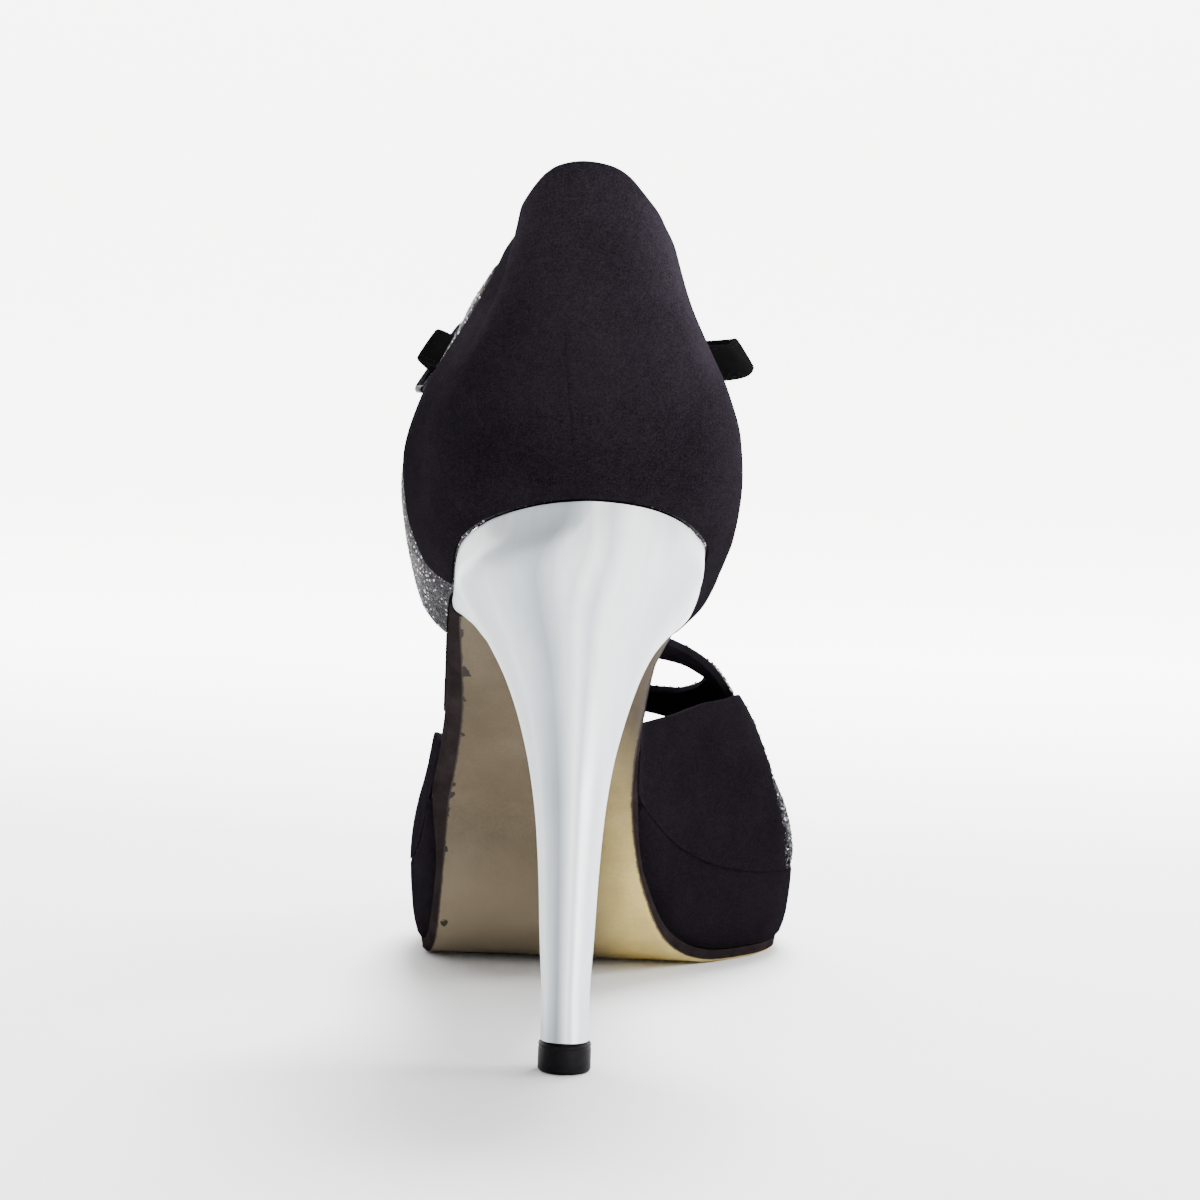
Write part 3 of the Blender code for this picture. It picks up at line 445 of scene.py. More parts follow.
def useGroup(tree, group, values):
    return addNode(tree, "ShaderNodeGroup", values, node_tree=group).outputs


def addBump(tree, shader, height, strength, distance):
    bump = addNode(tree, "ShaderNodeBump",
                   {"Strength": strength, "Distance": distance, "Height": height})
    feed(tree, shader, {"Normal": bump.outputs["Normal"]})


seam = {"lean": 0.114, "start": -0.0122, "half": 0.0005, "wander": 0.0008, "front": 0.002,
        "middle": 0.121, "reach": 0.018, "dark": (0.004, 0.003, 0.005, 1)}


def addSeamAndPaintedLight(tree, colour, height):
    # A faint closing seam leans up the middle of the back and fades above and below. Painted light is
    # added to the suede's colour as well.
    place = objectPlace(tree)
    axes = splitAxes(tree, place)
    wander = product(tree, mathNode(tree, "SUBTRACT", noiseNode(tree, place, 60), 0.5),
                     seam["wander"])
    lean = slopeNode(tree, axes["Z"], seam["lean"], seam["start"])
    off = mathNode(tree, "ADD", axes["X"], mathNode(tree, "ADD", wander, lean))
    line = fadeNode(tree, mathNode(tree, "ABSOLUTE", off), seam["half"])
    behind = mathNode(tree, "LESS_THAN", axes["Y"], seam["front"])
    away = mathNode(tree, "ABSOLUTE", mathNode(tree, "SUBTRACT", axes["Z"], seam["middle"]))
    tall = mathNode(tree, "MULTIPLY", fadeNode(tree, away, seam["reach"]), 1.6, limit=True)
    line = product(tree, line, behind, tall)
    colour = mixColour(tree, product(tree, line, 0.22), colour, seam["dark"])
    # painted light: the suede is painted lighter towards the top and the inner side, where the light
    # falls
    tone = slopeNode(tree, axes["X"], 7.0, slopeNode(tree, axes["Z"], 13.0, -0.92))
    return (scaleColour(tree, colour, mathNode(tree, "MAXIMUM", tone, 0.45)),
            slopeNode(tree, line, -0.5, height))


def suedeFinish(name, dark, light, seamAndPaintedLight=False):
    material, tree, shader = newFinish(name, {
        "Sheen Weight": 0.006, "Sheen Roughness": 0.45, "Sheen Tint": (0.55, 0.50, 0.58, 1),
        "Specular IOR Level": 0.0})
    nap = useGroup(tree, napGroup, {"Dark": dark, "Light": light})
    colour, height = nap["Colour"], nap["Height"]
    if seamAndPaintedLight:
        colour, height = addSeamAndPaintedLight(tree, colour, height)
    feed(tree, shader, {"Base Color": colour, "Roughness": nap["Roughness"]})
    addBump(tree, shader, height, 0.5, 0.00012)
    return material


def glitterFinish(name, flake, spark, base, scale, sparks, bump):
    material, tree, shader = newFinish(name, {"Specular IOR Level": 0.1})
    flakes = useGroup(tree, flakeGroup, {"Base": base, "Flake": flake, "Spark": spark,
                                         "Scale": scale, "Sparks": sparks})
    feed(tree, shader, {"Base Color": flakes["Colour"], "Roughness": flakes["Roughness"],
                        "Metallic": flakes["Metallic"]})
    addBump(tree, shader, flakes["Height"], 0.8, bump)
    return material


def leatherFinish(name, dark, light, scale, bump=0.00006, gloss=0.0):
    material, tree, shader = newFinish(name, {"Specular IOR Level": gloss})
    grain = useGroup(tree, grainGroup, {"Dark": dark, "Light": light, "Scale": scale})
    feed(tree, shader, {"Base Color": grain["Colour"], "Roughness": grain["Roughness"]})
    addBump(tree, shader, grain["Height"], 0.5, bump)
    return material


def silverFinish():
    # Satin lacquered silver with faint upright brushing, and painted reflection bands in its base
    # colour.
    material, tree, shader = newFinish("heelSilver", {"Coat Weight": 0.10, "Coat Roughness": 0.20})
    place = objectPlace(tree)
    stretch = addNode(tree, "ShaderNodeMapping",
                      {"Vector": place, "Scale": (1.0, 1.0, 0.06)}).outputs[0]
    brushed = noiseNode(tree, stretch, 520, 3.0, 0.5)
    # painted reflections: light and dark bands, as a mirror shows the studio, are painted into the base
    # colour round the heel
    across = addNode(tree, "ShaderNodeAttribute", attribute_name="across").outputs["Fac"]
    wavy = slopeNode(tree, noiseNode(tree, stretch, 60, 2.0, 0.5), 0.05, -0.025)
    side = mathNode(tree, "ADD", slopeNode(tree, across, 0.5, 0.5), wavy)
    paintedReflections = rampNode(tree, side, [
        (0.00, (0.34, 0.37, 0.38)), (0.12, (0.60, 0.65, 0.67)), (0.28, (0.46, 0.51, 0.54)),
        (0.38, (0.34, 0.38, 0.41)), (0.46, (0.56, 0.61, 0.63)), (0.55, (0.98, 1.00, 1.00)),
        (0.62, (0.62, 0.65, 0.68)), (0.70, (0.95, 0.97, 0.98)), (0.84, (0.86, 0.88, 0.91)),
        (1.00, (0.50, 0.53, 0.56))])
    faint = rampNode(tree, brushed, [(0.3, (0.90, 0.91, 0.92)), (0.7, (1.0, 1.0, 1.0))])
    # the seat's flare is lacquered flatter than the column
    below = slopeNode(tree, splitAxes(tree, place)["Z"], -90.0, 9.3, limit=True)
    feed(tree, shader, {"Base Color": mixColour(tree, 1.0, paintedReflections, faint, "MULTIPLY"),
                        "Metallic": slopeNode(tree, below, 0.55, 0.10),
                        "Roughness": slopeNode(tree, brushed, 0.10, 0.32)})
    addBump(tree, shader, brushed, 0.12, 0.00004)
    return material


# how far the painted shadow beside the rim reaches, and the edge dye's ragged line, blotches and soft
# end
edgeDyeAndShadow = {"shadowReach": 0.0048, "ragged": 0.0007, "blotch": 0.020, "soft": 0.00035}


def soleFinish():
    # Tan sole leather, with the dark edge dye that has run over its rim, and painted light and shade.
    material, tree, shader = newFinish("soleTan", {"Specular IOR Level": 0.10})
    place = objectPlace(tree)
    axes = splitAxes(tree, place)
    broad = noiseNode(tree, place, 30, 4.0, 0.6)
    fine = noiseNode(tree, place, 1400, 4.0, 0.7)
    tone = slopeNode(tree, fine, 0.35, mathNode(tree, "SUBTRACT", broad, 0.17))
    # painted light and shade: one ramp for the tan in shade and one for the tan in light
    shady = rampNode(tree, tone, [(0.32, (0.068, 0.051, 0.031)), (0.52, (0.086, 0.066, 0.042)),
                                  (0.72, (0.105, 0.084, 0.057))])
    sunny = rampNode(tree, tone, [(0.32, (0.50, 0.38, 0.12)), (0.52, (0.62, 0.48, 0.17)),
                                  (0.72, (0.72, 0.58, 0.25))])
    # painted light: the inner half of the tread is painted lit, lighter and yellower, most of all low
    # down
    inner = slopeNode(tree, axes["X"], 90.0, 0.25, limit=True)
    low = slopeNode(tree, axes["Z"], -24.0, 1.42, limit=True)
    cloudy = slopeNode(tree, broad, 0.8, 0.55)
    # painted floor bounce: the lowest part of the shaded tan is painted lighter
    paintedFloorBounce = slopeNode(tree, axes["Z"], -50.0, 1.5, limit=True)
    shady = mixColour(tree, paintedFloorBounce, shady, (0.17, 0.135, 0.088, 1))
    lit = mathNode(tree, "MULTIPLY", product(tree, inner, low), cloudy, limit=True)
    leather = mixColour(tree, lit, shady, sunny)
    # painted shadow: high on the inner side the leather is painted darker beside its rim
    rim = addNode(tree, "ShaderNodeAttribute", attribute_name="rimDistance").outputs["Fac"]
    high = slopeNode(tree, axes["Z"], 40.0, -0.9, limit=True)
    near = product(tree, fadeNode(tree, rim, edgeDyeAndShadow["shadowReach"]), inner, product(tree, high, 0.62))
    leather = mixColour(tree, near, leather, (0.030, 0.022, 0.018, 1))
    # the dye ends in a ragged line, with blotches on the outer side
    ragged = slopeNode(tree, noiseNode(tree, place, 420, 5.0, 0.75), edgeDyeAndShadow["ragged"],
                       -edgeDyeAndShadow["ragged"] / 2)
    blotch = mathNode(tree, "SUBTRACT", noiseNode(tree, place, 150), 0.58)
    outer = slopeNode(tree, axes["X"], -60.0, -0.4, limit=True)
    blotch = product(tree, mathNode(tree, "MAXIMUM", blotch, 0.0), outer, edgeDyeAndShadow["blotch"])
    reach = mathNode(tree, "SUBTRACT", mathNode(tree, "ADD", rim, ragged), blotch)
    stain = fadeNode(tree, reach, edgeDyeAndShadow["soft"], 1.5)
    colour = mixColour(tree, product(tree, stain, 0.92), leather, (0.010, 0.008, 0.008, 1))
    feed(tree, shader, {"Base Color": colour, "Roughness": slopeNode(tree, fine, 0.2, 0.42)})
    addBump(tree, shader, fine, 0.35, 0.00005)
    return material


def gunmetalFinish():
    material, tree, shader = newFinish("gunmetal", {
        "Metallic": 1.0, "Specular Tint": (0.12, 0.12, 0.13, 1)})
    noise = noiseNode(tree, objectPlace(tree), 900)
    tone = rampNode(tree, noise, [(0.3, (0.014, 0.014, 0.016)), (0.7, (0.035, 0.035, 0.038))])
    feed(tree, shader, {"Base Color": tone, "Roughness": slopeNode(tree, noise, 0.15, 0.22)})
    return material


finishes = {
    # the counter's suede carries its seam and a painted lighter top and inner side
    "counterSuede": suedeFinish("counterSuede", (0.0080, 0.0058, 0.0085, 1),
                                (0.0270, 0.0230, 0.0300, 1), seamAndPaintedLight=True),
    "panelSuede": suedeFinish("panelSuede", (0.0030, 0.0023, 0.0034, 1),
                              (0.0090, 0.0075, 0.0100, 1)),
    "platformSuede": suedeFinish("platformSuede", (0.0032, 0.0025, 0.0035, 1),
                                 (0.0090, 0.0074, 0.0098, 1)),
    "greyGlitter": glitterFinish("greyGlitter", (0.034, 0.034, 0.036, 1), (0.55, 0.57, 0.6, 1),
                                 (0.006, 0.0058, 0.0066, 1), 2600, 0.045, 0.00012),
    "darkGlitter": glitterFinish("darkGlitter", (0.032, 0.034, 0.037, 1), (0.45, 0.62, 0.60, 1),
                                 (0.006, 0.006, 0.007, 1), 1500, 0.05, 0.0002),
    "lining": leatherFinish("lining", (0.006, 0.005, 0.0065, 1), (0.014, 0.012, 0.015, 1), 1100),
    "strapLeather": leatherFinish("strapLeather", (0.002, 0.002, 0.0022, 1),
                                  (0.006, 0.006, 0.0065, 1), 1300),
    "thread": leatherFinish("thread", (0.004, 0.004, 0.0045, 1), (0.010, 0.010, 0.011, 1), 3000),
    "edgePaint": leatherFinish("edgePaint", (0.0080, 0.0060, 0.0066, 1),
                               (0.0220, 0.0165, 0.0170, 1), 1500, bump=0.00008),
    "rubber": leatherFinish("rubber", (0.004, 0.0035, 0.0045, 1), (0.009, 0.008, 0.010, 1), 2200,
                            gloss=0.04),
    "heelSilver": silverFinish(),
    "soleTan": soleFinish(),
    "gunmetal": gunmetalFinish(),
}
print("finishes ready")


def dress(piece, *names):
    piece.data.materials.clear()
    for name in names:
        piece.data.materials.append(finishes[name])


def seat(piece, node):
    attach(piece, "root")
    if node:
        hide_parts(node)


def finishPiece(piece, angle, finish, node):
    smoothShade(piece, angle)
    dress(piece, finish)
    seat(piece, node)


# Camera as the photograph was taken: low behind the heel, rolled a little
view = {"place": (0.0303, -0.5992, 0.124), "yaw": 2.52, "pitch": 3.56, "roll": 1.8, "lens": 99.0,
        "sensor": 36, "nearest": 0.01}


def makeCamera():
    yaw, pitch, roll = (math.radians(view[key]) for key in ("yaw", "pitch", "roll"))
    look = Vector((-math.sin(yaw) * math.cos(pitch), math.cos(yaw) * math.cos(pitch), -math.sin(pitch)))
    right = look.cross(Vector((0, 0, 1))).normalized()
    up = right.cross(look)
    rolledRight = right * math.cos(roll) + up * math.sin(roll)
    rolledUp = up * math.cos(roll) - right * math.sin(roll)
    turn = Matrix((rolledRight, rolledUp, -look)).transposed().to_4x4()
    bpy.ops.object.camera_add()
    camera = bpy.context.object
    camera.matrix_world = Matrix.Translation(view["place"]) @ turn
    camera.data.lens = view["lens"]
    camera.data.sensor_width = view["sensor"]
    camera.data.clip_start = view["nearest"]
    bpy.context.scene.camera = camera


makeCamera()
print("camera ready")

# Heel: seat, flare and column in one smooth skin, over a rubber tip with a parting line
heel = {"rings": 120, "sidePoints": 40, "rimInset": 0.0006, "breast": 0.2155, "sideShare": 0.8,
        "oval": 2.3, "blunt": 2.6, "steps": 12, "seatStart": 11.4}
tip = {"sides": 64, "proud": 0.0008, "corner": 0.0006, "parting": (0.0042, 0.0045, 0.0048),
       "waist": 0.975}


def heelPoint(around, step):
    # around runs once round the section, from the back over the inner side and the breast
    seatShare = heelShape["seat"](step)
    front = mix(heelShape["breast"](step) * shoe["halfBall"], at(heel["breast"]), seatShare)
    back = mix(heelShape["back"](step) * shoe["halfBall"], at(0), seatShare)
    medial = around <= 0.5
    side, sign = ("medial", 1) if medial else ("lateral", -1)
    part = around * 2 if medial else (1 - around) * 2
    run = 1 - math.cos(math.pi / 2 * min(1.0, part / heel["sideShare"]))
    inward = clamp((part - heel["sideShare"]) / (1 - heel["sideShare"]))
    y = mix(back, front, run)
    oval = max(0.0, 1 - abs(2 * run - 1) ** heel["oval"]) ** (1 / heel["oval"])
    blunt = math.sqrt(max(0.0, 1 - (1 - run) ** heel["blunt"]))
    shape = oval if run < 0.5 else mix(oval, max(oval, blunt), heelShape["flat"](step))
    reach = (heelShape["shift"](step) + sign * heelShape["width"](step) * shape) * shoe["halfBall"]
    room = (featherX(y, "medial") - featherX(y, "lateral")) / 2
    rim = featherX(y, side) - sign * min(heel["rimInset"], room)
    middle = mix(heelShape["shift"](step) * shoe["halfBall"], rim - sign * (room - heel["rimInset"]),
                 seatShare)
    x = mix(mix(reach, rim, seatShare), middle, inward)
    share = mix(heelShape["backHeight"](step), heelShape["breastHeight"](step), run)
    z = mix(shoe["tipHeight"] + shoe["gap"], shoe["heelHeight"] - shoe["gap"], share)
    seatZ = bedHeight(y) - shoe["gap"]
    return Vector((x, y, mix(z, seatZ, easeStep(heel["seatStart"], heel["steps"], step))))


def makeHeel():
    columns = heel["sidePoints"] * 4
    piece = gridPiece("heelColumn", columns, heel["rings"],
                      lambda u, v: heelPoint(u, heel["steps"] * v))
    # the place round the heel, which lays out its painted reflection bands
    storeValue(piece, "across", lambda vertex: math.sin(
        2 * math.pi * (vertex.index % (columns + 1)) / columns))
    weldAndFill(piece)
    finishPiece(piece, 50, "heelSilver", "heel")


def makeTip():
    deselectAll()
    width = 2 * heelShape["width"](0) * shoe["halfBall"] + tip["proud"]
    length = (heelShape["breast"](0) - heelShape["back"](0)) * shoe["halfBall"] + tip["proud"]
    bpy.ops.mesh.primitive_cylinder_add(vertices=tip["sides"], radius=0.5, depth=1,
                                        location=(0, 0, shoe["tipHeight"] / 2))
    piece = bpy.context.object
    piece.name = "topLift"
    piece.scale = (width, length, shoe["tipHeight"])
    bpy.ops.object.transform_apply(location=True, rotation=True, scale=True)
    makeActive(piece)
    bpy.ops.object.mode_set(mode="EDIT")
    for height in tip["parting"]:
        bpy.ops.mesh.select_all(action="SELECT")
        bpy.ops.mesh.bisect(plane_co=(0, 0, height), plane_no=(0, 0, 1))
    bpy.ops.object.mode_set(mode="OBJECT")
    for vertex in piece.data.vertices:
        if abs(vertex.co.z - tip["parting"][1]) < 1e-5:
            vertex.co.x *= tip["waist"]
            vertex.co.y *= tip["waist"]
    bevelEdges(piece, tip["corner"], 50, segments=3)
    finishPiece(piece, 30, "rubber", "heel_tip")


makeHeel()
makeTip()
print("heel ready")

# Sole: closed sections along the foot, every corner rounded by a bevel
sole = {"stations": 150, "bevel": 0.0003, "edgeShare": 0.3, "breast": 0.2170, "toe": 0.9985,
        "platformStart": 0.462, "insoleStart": 0.0190, "insoleGap": 0.0008,
        "waist": (0.264, 0.276, 0.355, 0.380), "openToe": (0.860, 0.888)}


def soleEdge(y, side, share):
    sign = 1 if side == "medial" else -1
    inset = treadShape[side](shareOf(y)) * shoe["halfBall"]
    reach = featherX(y, "medial") - featherX(y, "lateral")
    return featherX(y, side) - sign * min(inset * share, reach / 3)


def bevelShare(y):
    return mix(treadShape["welt"](shareOf(y)), 1, sole["edgeShare"])


def platePiece(name, first, section):
    # section gives the ring of points at one place along the foot
    corners = len(section(at(first)))

    def place(u, v):
        y = at(mix(first, sole["toe"], (1 - math.cos(math.pi * v)) / 2))
        x, z = section(y)[round(u * corners) % corners]
        return Vector((x, y, z))

    piece = gridPiece(name, corners, sole["stations"], place)
    weldAndFill(piece)
    return piece


def outsoleSection(y):
    low = treadHeight(y)
    high = low + shoe["sole"]
    bevel = low + shoe["sole"] / 4
    welt = treadShape["welt"](shareOf(y))
    medial, lateral = soleEdge(y, "medial", 1.0), soleEdge(y, "lateral", 1.0)
    rims = (0, 0.02, 0.05, 0.10, 0.2, 0.35, 0.5, 0.65, 0.8, 0.90, 0.95, 0.98)
    return ([(soleEdge(y, "medial", welt), high), (soleEdge(y, "medial", bevelShare(y)), bevel)]
            + [(medial - (medial - lateral) * share, low) for share in rims]
            + [(lateral, low), (soleEdge(y, "lateral", bevelShare(y)), bevel),
               (soleEdge(y, "lateral", welt), high)])


def platformSection(y):
    low = treadHeight(y) + shoe["sole"] + shoe["gap"]
    rise = bedHeight(y) - shoe["gap"] - low
    stack = [(0.08, 1.0), (0.03, 0.93), (0.06, 0.75), (0.13, 0.55), (0.22, 0.35), (0.34, 0.20),
             (0.50, 0.07), (0.70, 0.0)]
    right, left = ([(soleEdge(y, side, share), low + rise * height) for share, height in stack]
                   for side in ("medial", "lateral"))
    return right + left[::-1]


def insoleInset(y, side):
    along = shareOf(y)
    start, opened, closing, closed = sole["waist"]
    openWaist = easeStep(start, opened, along) * (1 - easeStep(closing, closed, along))
    openToe = easeStep(*sole["openToe"], along)
    step = 0.005 * shoe["length"]
    slope = (featherX(y + step, side) - featherX(y - step, side)) / (2 * step)
    depth = (shoe["wall"] + overlayStep + sole["insoleGap"]) * min(2.0, math.hypot(1, slope))
    return depth * (1 - max(openWaist, openToe))


def insoleSection(y):
    medial = featherX(y, "medial") - insoleInset(y, "medial")
    lateral = featherX(y, "lateral") + insoleInset(y, "lateral")
    low = bedHeight(y)
    high = low + shoe["insole"]
    edge = min(0.25 * shoe["insole"], (medial - lateral) / 6)
    top = [(mix(medial - edge, lateral + edge, step / 8), high) for step in range(9)]
    return [(medial, low), (medial, high - edge)] + top + [(lateral, high - edge), (lateral, low)]


def makeOutsole():
    piece = platePiece("treadLeather", sole["breast"], outsoleSection)
    dress(piece, "soleTan", "edgePaint")

    def tanEdge(y):
        # on the inner side the edge dye starts only above the tread's bevel
        return soleEdge(y, "medial", bevelShare(y))

    for polygon in piece.data.polygons:
        spot = polygon.center
        inside = soleEdge(spot.y, "lateral", 1.0) < spot.x < tanEdge(spot.y)
        polygon.material_index = 0 if inside and polygon.normal.z < -0.02 else 1
    bevelEdges(piece, sole["bevel"], 28)
    storeValue(piece, "rimDistance", lambda vertex: min(
        tanEdge(vertex.co.y) - vertex.co.x, vertex.co.x - soleEdge(vertex.co.y, "lateral", 1.0)))
    smoothShade(piece, 32)
    seat(piece, "outsole")


def makeCover(name, first, section, finish, node):
    piece = platePiece(name, first, section)
    bevelEdges(piece, sole["bevel"], 50)
    finishPiece(piece, 40, finish, node)


makeOutsole()
makeCover("platformCover", sole["platformStart"], platformSection, "platformSuede", "platform")
makeCover("sockLining", sole["insoleStart"], insoleSection, "lining", "insole")
print("sole ready")

# Quarter and counter
quarter = {
    "front": 0.262, "columns": 150, "rows": 56, "counterColumns": 180, "counterRows": 60,
    "level": (0.101, 0.193), "side": 0.074, "medialFront": (0.147, 0.110),
    "lateralFront": (0.060, 0.230), "sway": 0.086, "step": (0.005, 0.022), "under": 0.004,
}


def sideOf(turn):
    return "medial" if turn < 0 else "lateral"


def roundY(turn):
    return mix(-shoe["overhang"], at(quarter["front"]), 1 - math.cos(math.pi / 2 * abs(turn)))


def turnAt(along):
    run = (at(along) + shoe["overhang"]) / (at(quarter["front"]) + shoe["overhang"])
    return math.acos(max(-1.0, 1 - run)) / (math.pi / 2)


def planPoint(turn):
    y = roundY(turn)
    return Vector((featherX(y, sideOf(turn)), y))


def quarterPoint(turn, share, out):
    here = planPoint(turn)
    y = here.y
    along = shareOf(y)
    run = planPoint(min(1.0, turn + 0.02)) - planPoint(max(-1.0, turn - 0.02))
    normal = Vector((-run.y, run.x)).normalized()
    first, last = quarter["level"]
    normal.y *= 1 - easeStep(at(first), at(last), y)
    normal.normalize()
    height = (topLine(along) * shoe["counter"] + shoe["heelHeight"] - bedHeight(y)) * share
    level = height / shoe["counter"]
    toSide = easeStep(at(0.0), at(quarter["side"]), y)
    spread = mix(wallShape["back"](level), wallShape[sideOf(turn)](level), toSide)
    if turn < 0:
        start, length = quarter["medialFront"]
        toFront = clamp((along - start) / length) ** 2
    else:
        toFront = easeStep(*quarter["lateralFront"], along)
    spread = mix(spread, wallShape[sideOf(turn) + "Front"](level), toFront)
    offset = spread * shoe["halfBall"] + out
    sway = quarter["sway"] * level * (1 - toSide) * shoe["halfBall"]
    return Vector((here.x - sway + normal.x * offset, y + normal.y * offset, bedHeight(y) + height))


def underCounter(turn, share):
    edge = counterEdge[sideOf(turn)](share)
    start, end = quarter["step"]
    return -overlayStep * (1 - easeStep(edge + start, edge + end, shareOf(roundY(turn))))


# Loose glitter: grains to the square metre, radius, seed, and height against width
grains = {
    "quarterGrains": {"density": 3.2e6, "radius": 0.00016, "seed": 3, "flat": 0.5,
                      "finish": "greyGlitter", "slot": "glitter"},
    "vampGrains": {"density": 1.15e6, "radius": 0.00040, "seed": 7, "flat": 0.7,
                   "finish": "darkGlitter", "slot": "dark_glitter"},
    "panelFringe": {"density": 1.6e6, "radius": 0.00036, "seed": 11, "flat": 0.7,
                    "finish": "darkGlitter", "slot": "dark_glitter"},
}


def scatterGrains(source, name):
    # Loose grains on an open skin, spread by geometry nodes and made real.
    settings = grains[name]
    makeActive(source)
    bpy.ops.object.duplicate()
    piece = bpy.context.object
    piece.name = name
    tree = bpy.data.node_groups.new(name, "GeometryNodeTree")
    for way in ("INPUT", "OUTPUT"):
        tree.interface.new_socket(name="Geometry", in_out=way, socket_type="NodeSocketGeometry")
    skin = tree.nodes.new("NodeGroupInput").outputs[0]
    share = addNode(tree, "GeometryNodeInputNamedAttribute", {"Name": "sparkle"}, data_type="FLOAT")
    points = addNode(tree, "GeometryNodeDistributePointsOnFaces", {
        "Mesh": skin, "Seed": settings["seed"],
        "Density": mathNode(tree, "MULTIPLY", share.outputs["Attribute"], settings["density"])})
    grain = addNode(tree, "GeometryNodeMeshIcoSphere", {"Radius": settings["radius"], "Subdivisions": 1})
    turnAny = addNode(tree, "FunctionNodeRandomValue", {"Max": (6.28, 6.28, 6.28)},
                      data_type="FLOAT_VECTOR")
    sizeAny = addNode(tree, "FunctionNodeRandomValue", {
        "Min": (0.5, 0.5, 0.5 * settings["flat"]), "Max": (1.15, 1.15, 1.15 * settings["flat"])},
        data_type="FLOAT_VECTOR")
    placed = addNode(tree, "GeometryNodeInstanceOnPoints", {
        "Points": points.outputs["Points"], "Instance": grain.outputs["Mesh"],
        "Rotation": turnAny.outputs[0], "Scale": sizeAny.outputs[0]})
    real = addNode(tree, "GeometryNodeRealizeInstances", {0: placed.outputs[0]})
    dyed = addNode(tree, "GeometryNodeSetMaterial",
                   {0: real.outputs[0], "Material": finishes[settings["finish"]]})
    feed(tree, tree.nodes.new("NodeGroupOutput"), {0: dyed.outputs[0]})
    applyModifier(piece, "NODES", node_group=tree)
    dress(piece, settings["finish"])
    seat(piece, None)
    print(name, len(piece.data.polygons), "faces")


def thickenSkin(piece, thickness, edgeRadius):
    applyModifier(piece, "SOLIDIFY", thickness=thickness, offset=-1.0, use_even_offset=True,
                  material_offset=1, material_offset_rim=1)
    bevelEdges(piece, edgeRadius, 60)
    smoothShade(piece, 45)


def makeQuarter():
    columns = quarter["columns"] + 1

    def place(u, v):
        turn = 2 * u - 1
        return quarterPoint(turn, v, underCounter(turn, v))

    def sparkle(vertex):
        turn = 2 * (vertex.index % columns) / (columns - 1) - 1
        edge = counterEdge[sideOf(turn)]((vertex.index // columns) / quarter["rows"])
        return 1.0 if shareOf(roundY(turn)) > edge - quarter["under"] else 0.0

    piece = gridPiece("quarterWall", quarter["columns"], quarter["rows"], place)
    storeValue(piece, "sparkle", sparkle)
    faceOutward(piece)
    dress(piece, "greyGlitter", "lining")
    scatterGrains(piece, "quarterGrains")
    thickenSkin(piece, shoe["wall"], 0.0003)
    seat(piece, "quarter")


def makeCounter():
    def place(u, v):
        sweep = 2 * u - 1
        return quarterPoint(sweep * turnAt(counterEdge[sideOf(sweep)](v)), v, 0)

    piece = gridPiece("suedeCounter", quarter["counterColumns"], quarter["counterRows"], place)
    faceOutward(piece)
    dress(piece, "counterSuede", "counterSuede")
    thickenSkin(piece, shoe["overlay"], 0.0002)
    seat(piece, "counter")


makeQuarter()
makeCounter()
print("quarter ready")

# Vamp: two skins that meet beside the window, welded and given their wall
vamp = {"turns": 150, "rearRows": 26, "frontRows": 40, "panelMedial": 42.5, "panelLateral": 149.5,
        "panelRows": 60, "fringeRows": 5, "lap": 0.0005, "step": (0.002, 0.030),
        "stepTurns": (1, 8), "under": 0.003}


def vampPoint(y, turn, out):
    angle = math.radians(turn)
    along = shareOf(y)
    medial = featherX(y, "medial") + out
    lateral = featherX(y, "lateral") - out
    middle, half = (medial + lateral) / 2, (medial - lateral) / 2
    rise = ridge["rise"](along) * shoe["instep"] + out * 1.15
    square = ridge["medial" if turn < 90 else "lateral"](along)
    reach = (abs(math.cos(angle)) ** square + abs(math.sin(angle)) ** square) ** (-1 / square)
    return Vector((middle + half * reach * math.cos(angle), y,
                   bedHeight(y) + rise * reach * max(0.0, math.sin(angle))))


def underPanel(y, turn):
    edge = vampEdge["panel"](turn)
    start, end = vamp["step"]
    behind = 1 - easeStep(edge + start, edge + end, shareOf(y))
    near, far = vamp["stepTurns"]
    if turn < 90:
        low = 1 - easeStep(vamp["panelMedial"] + near, vamp["panelMedial"] + far, turn)
    else:
        low = easeStep(vamp["panelLateral"] - far, vamp["panelLateral"] - near, turn)
    return -overlayStep * behind * low


def vampSkin(name, rows, rearEdge, frontEdge):
    columns = vamp["turns"] + 1

    def place(u, v):
        turn = 180 * u
        y = at(mix(rearEdge(turn), frontEdge(turn), v))
        return vampPoint(y, turn, underPanel(y, turn))

    def sparkle(vertex):
        turn = 180 * (vertex.index % columns) / (columns - 1)
        beside = turn < vamp["panelMedial"] or turn > vamp["panelLateral"]
        covered = beside and shareOf(vertex.co.y) < vampEdge["panel"](turn) - vamp["under"]
        return 0.0 if covered else 1.0

    skin = gridPiece(name, vamp["turns"], rows, place)
    storeValue(skin, "sparkle", sparkle)
    return skin


def makeVamp():
    piece = vampSkin("vampRear", vamp["rearRows"], vampEdge["rear"], windowEdge["rear"])
    front = vampSkin("vampFront", vamp["frontRows"], windowEdge["front"], vampEdge["front"])
    makeActive(piece)
    front.select_set(True)
    bpy.ops.object.join()
    piece.name = "vampWall"
    weldAndFill(piece, fill=False, outward=False)
    faceOutward(piece)
    dress(piece, "darkGlitter", "lining")
    scatterGrains(piece, "vampGrains")
    thickenSkin(piece, shoe["wall"], 0.0004)
    seat(piece, "vamp")


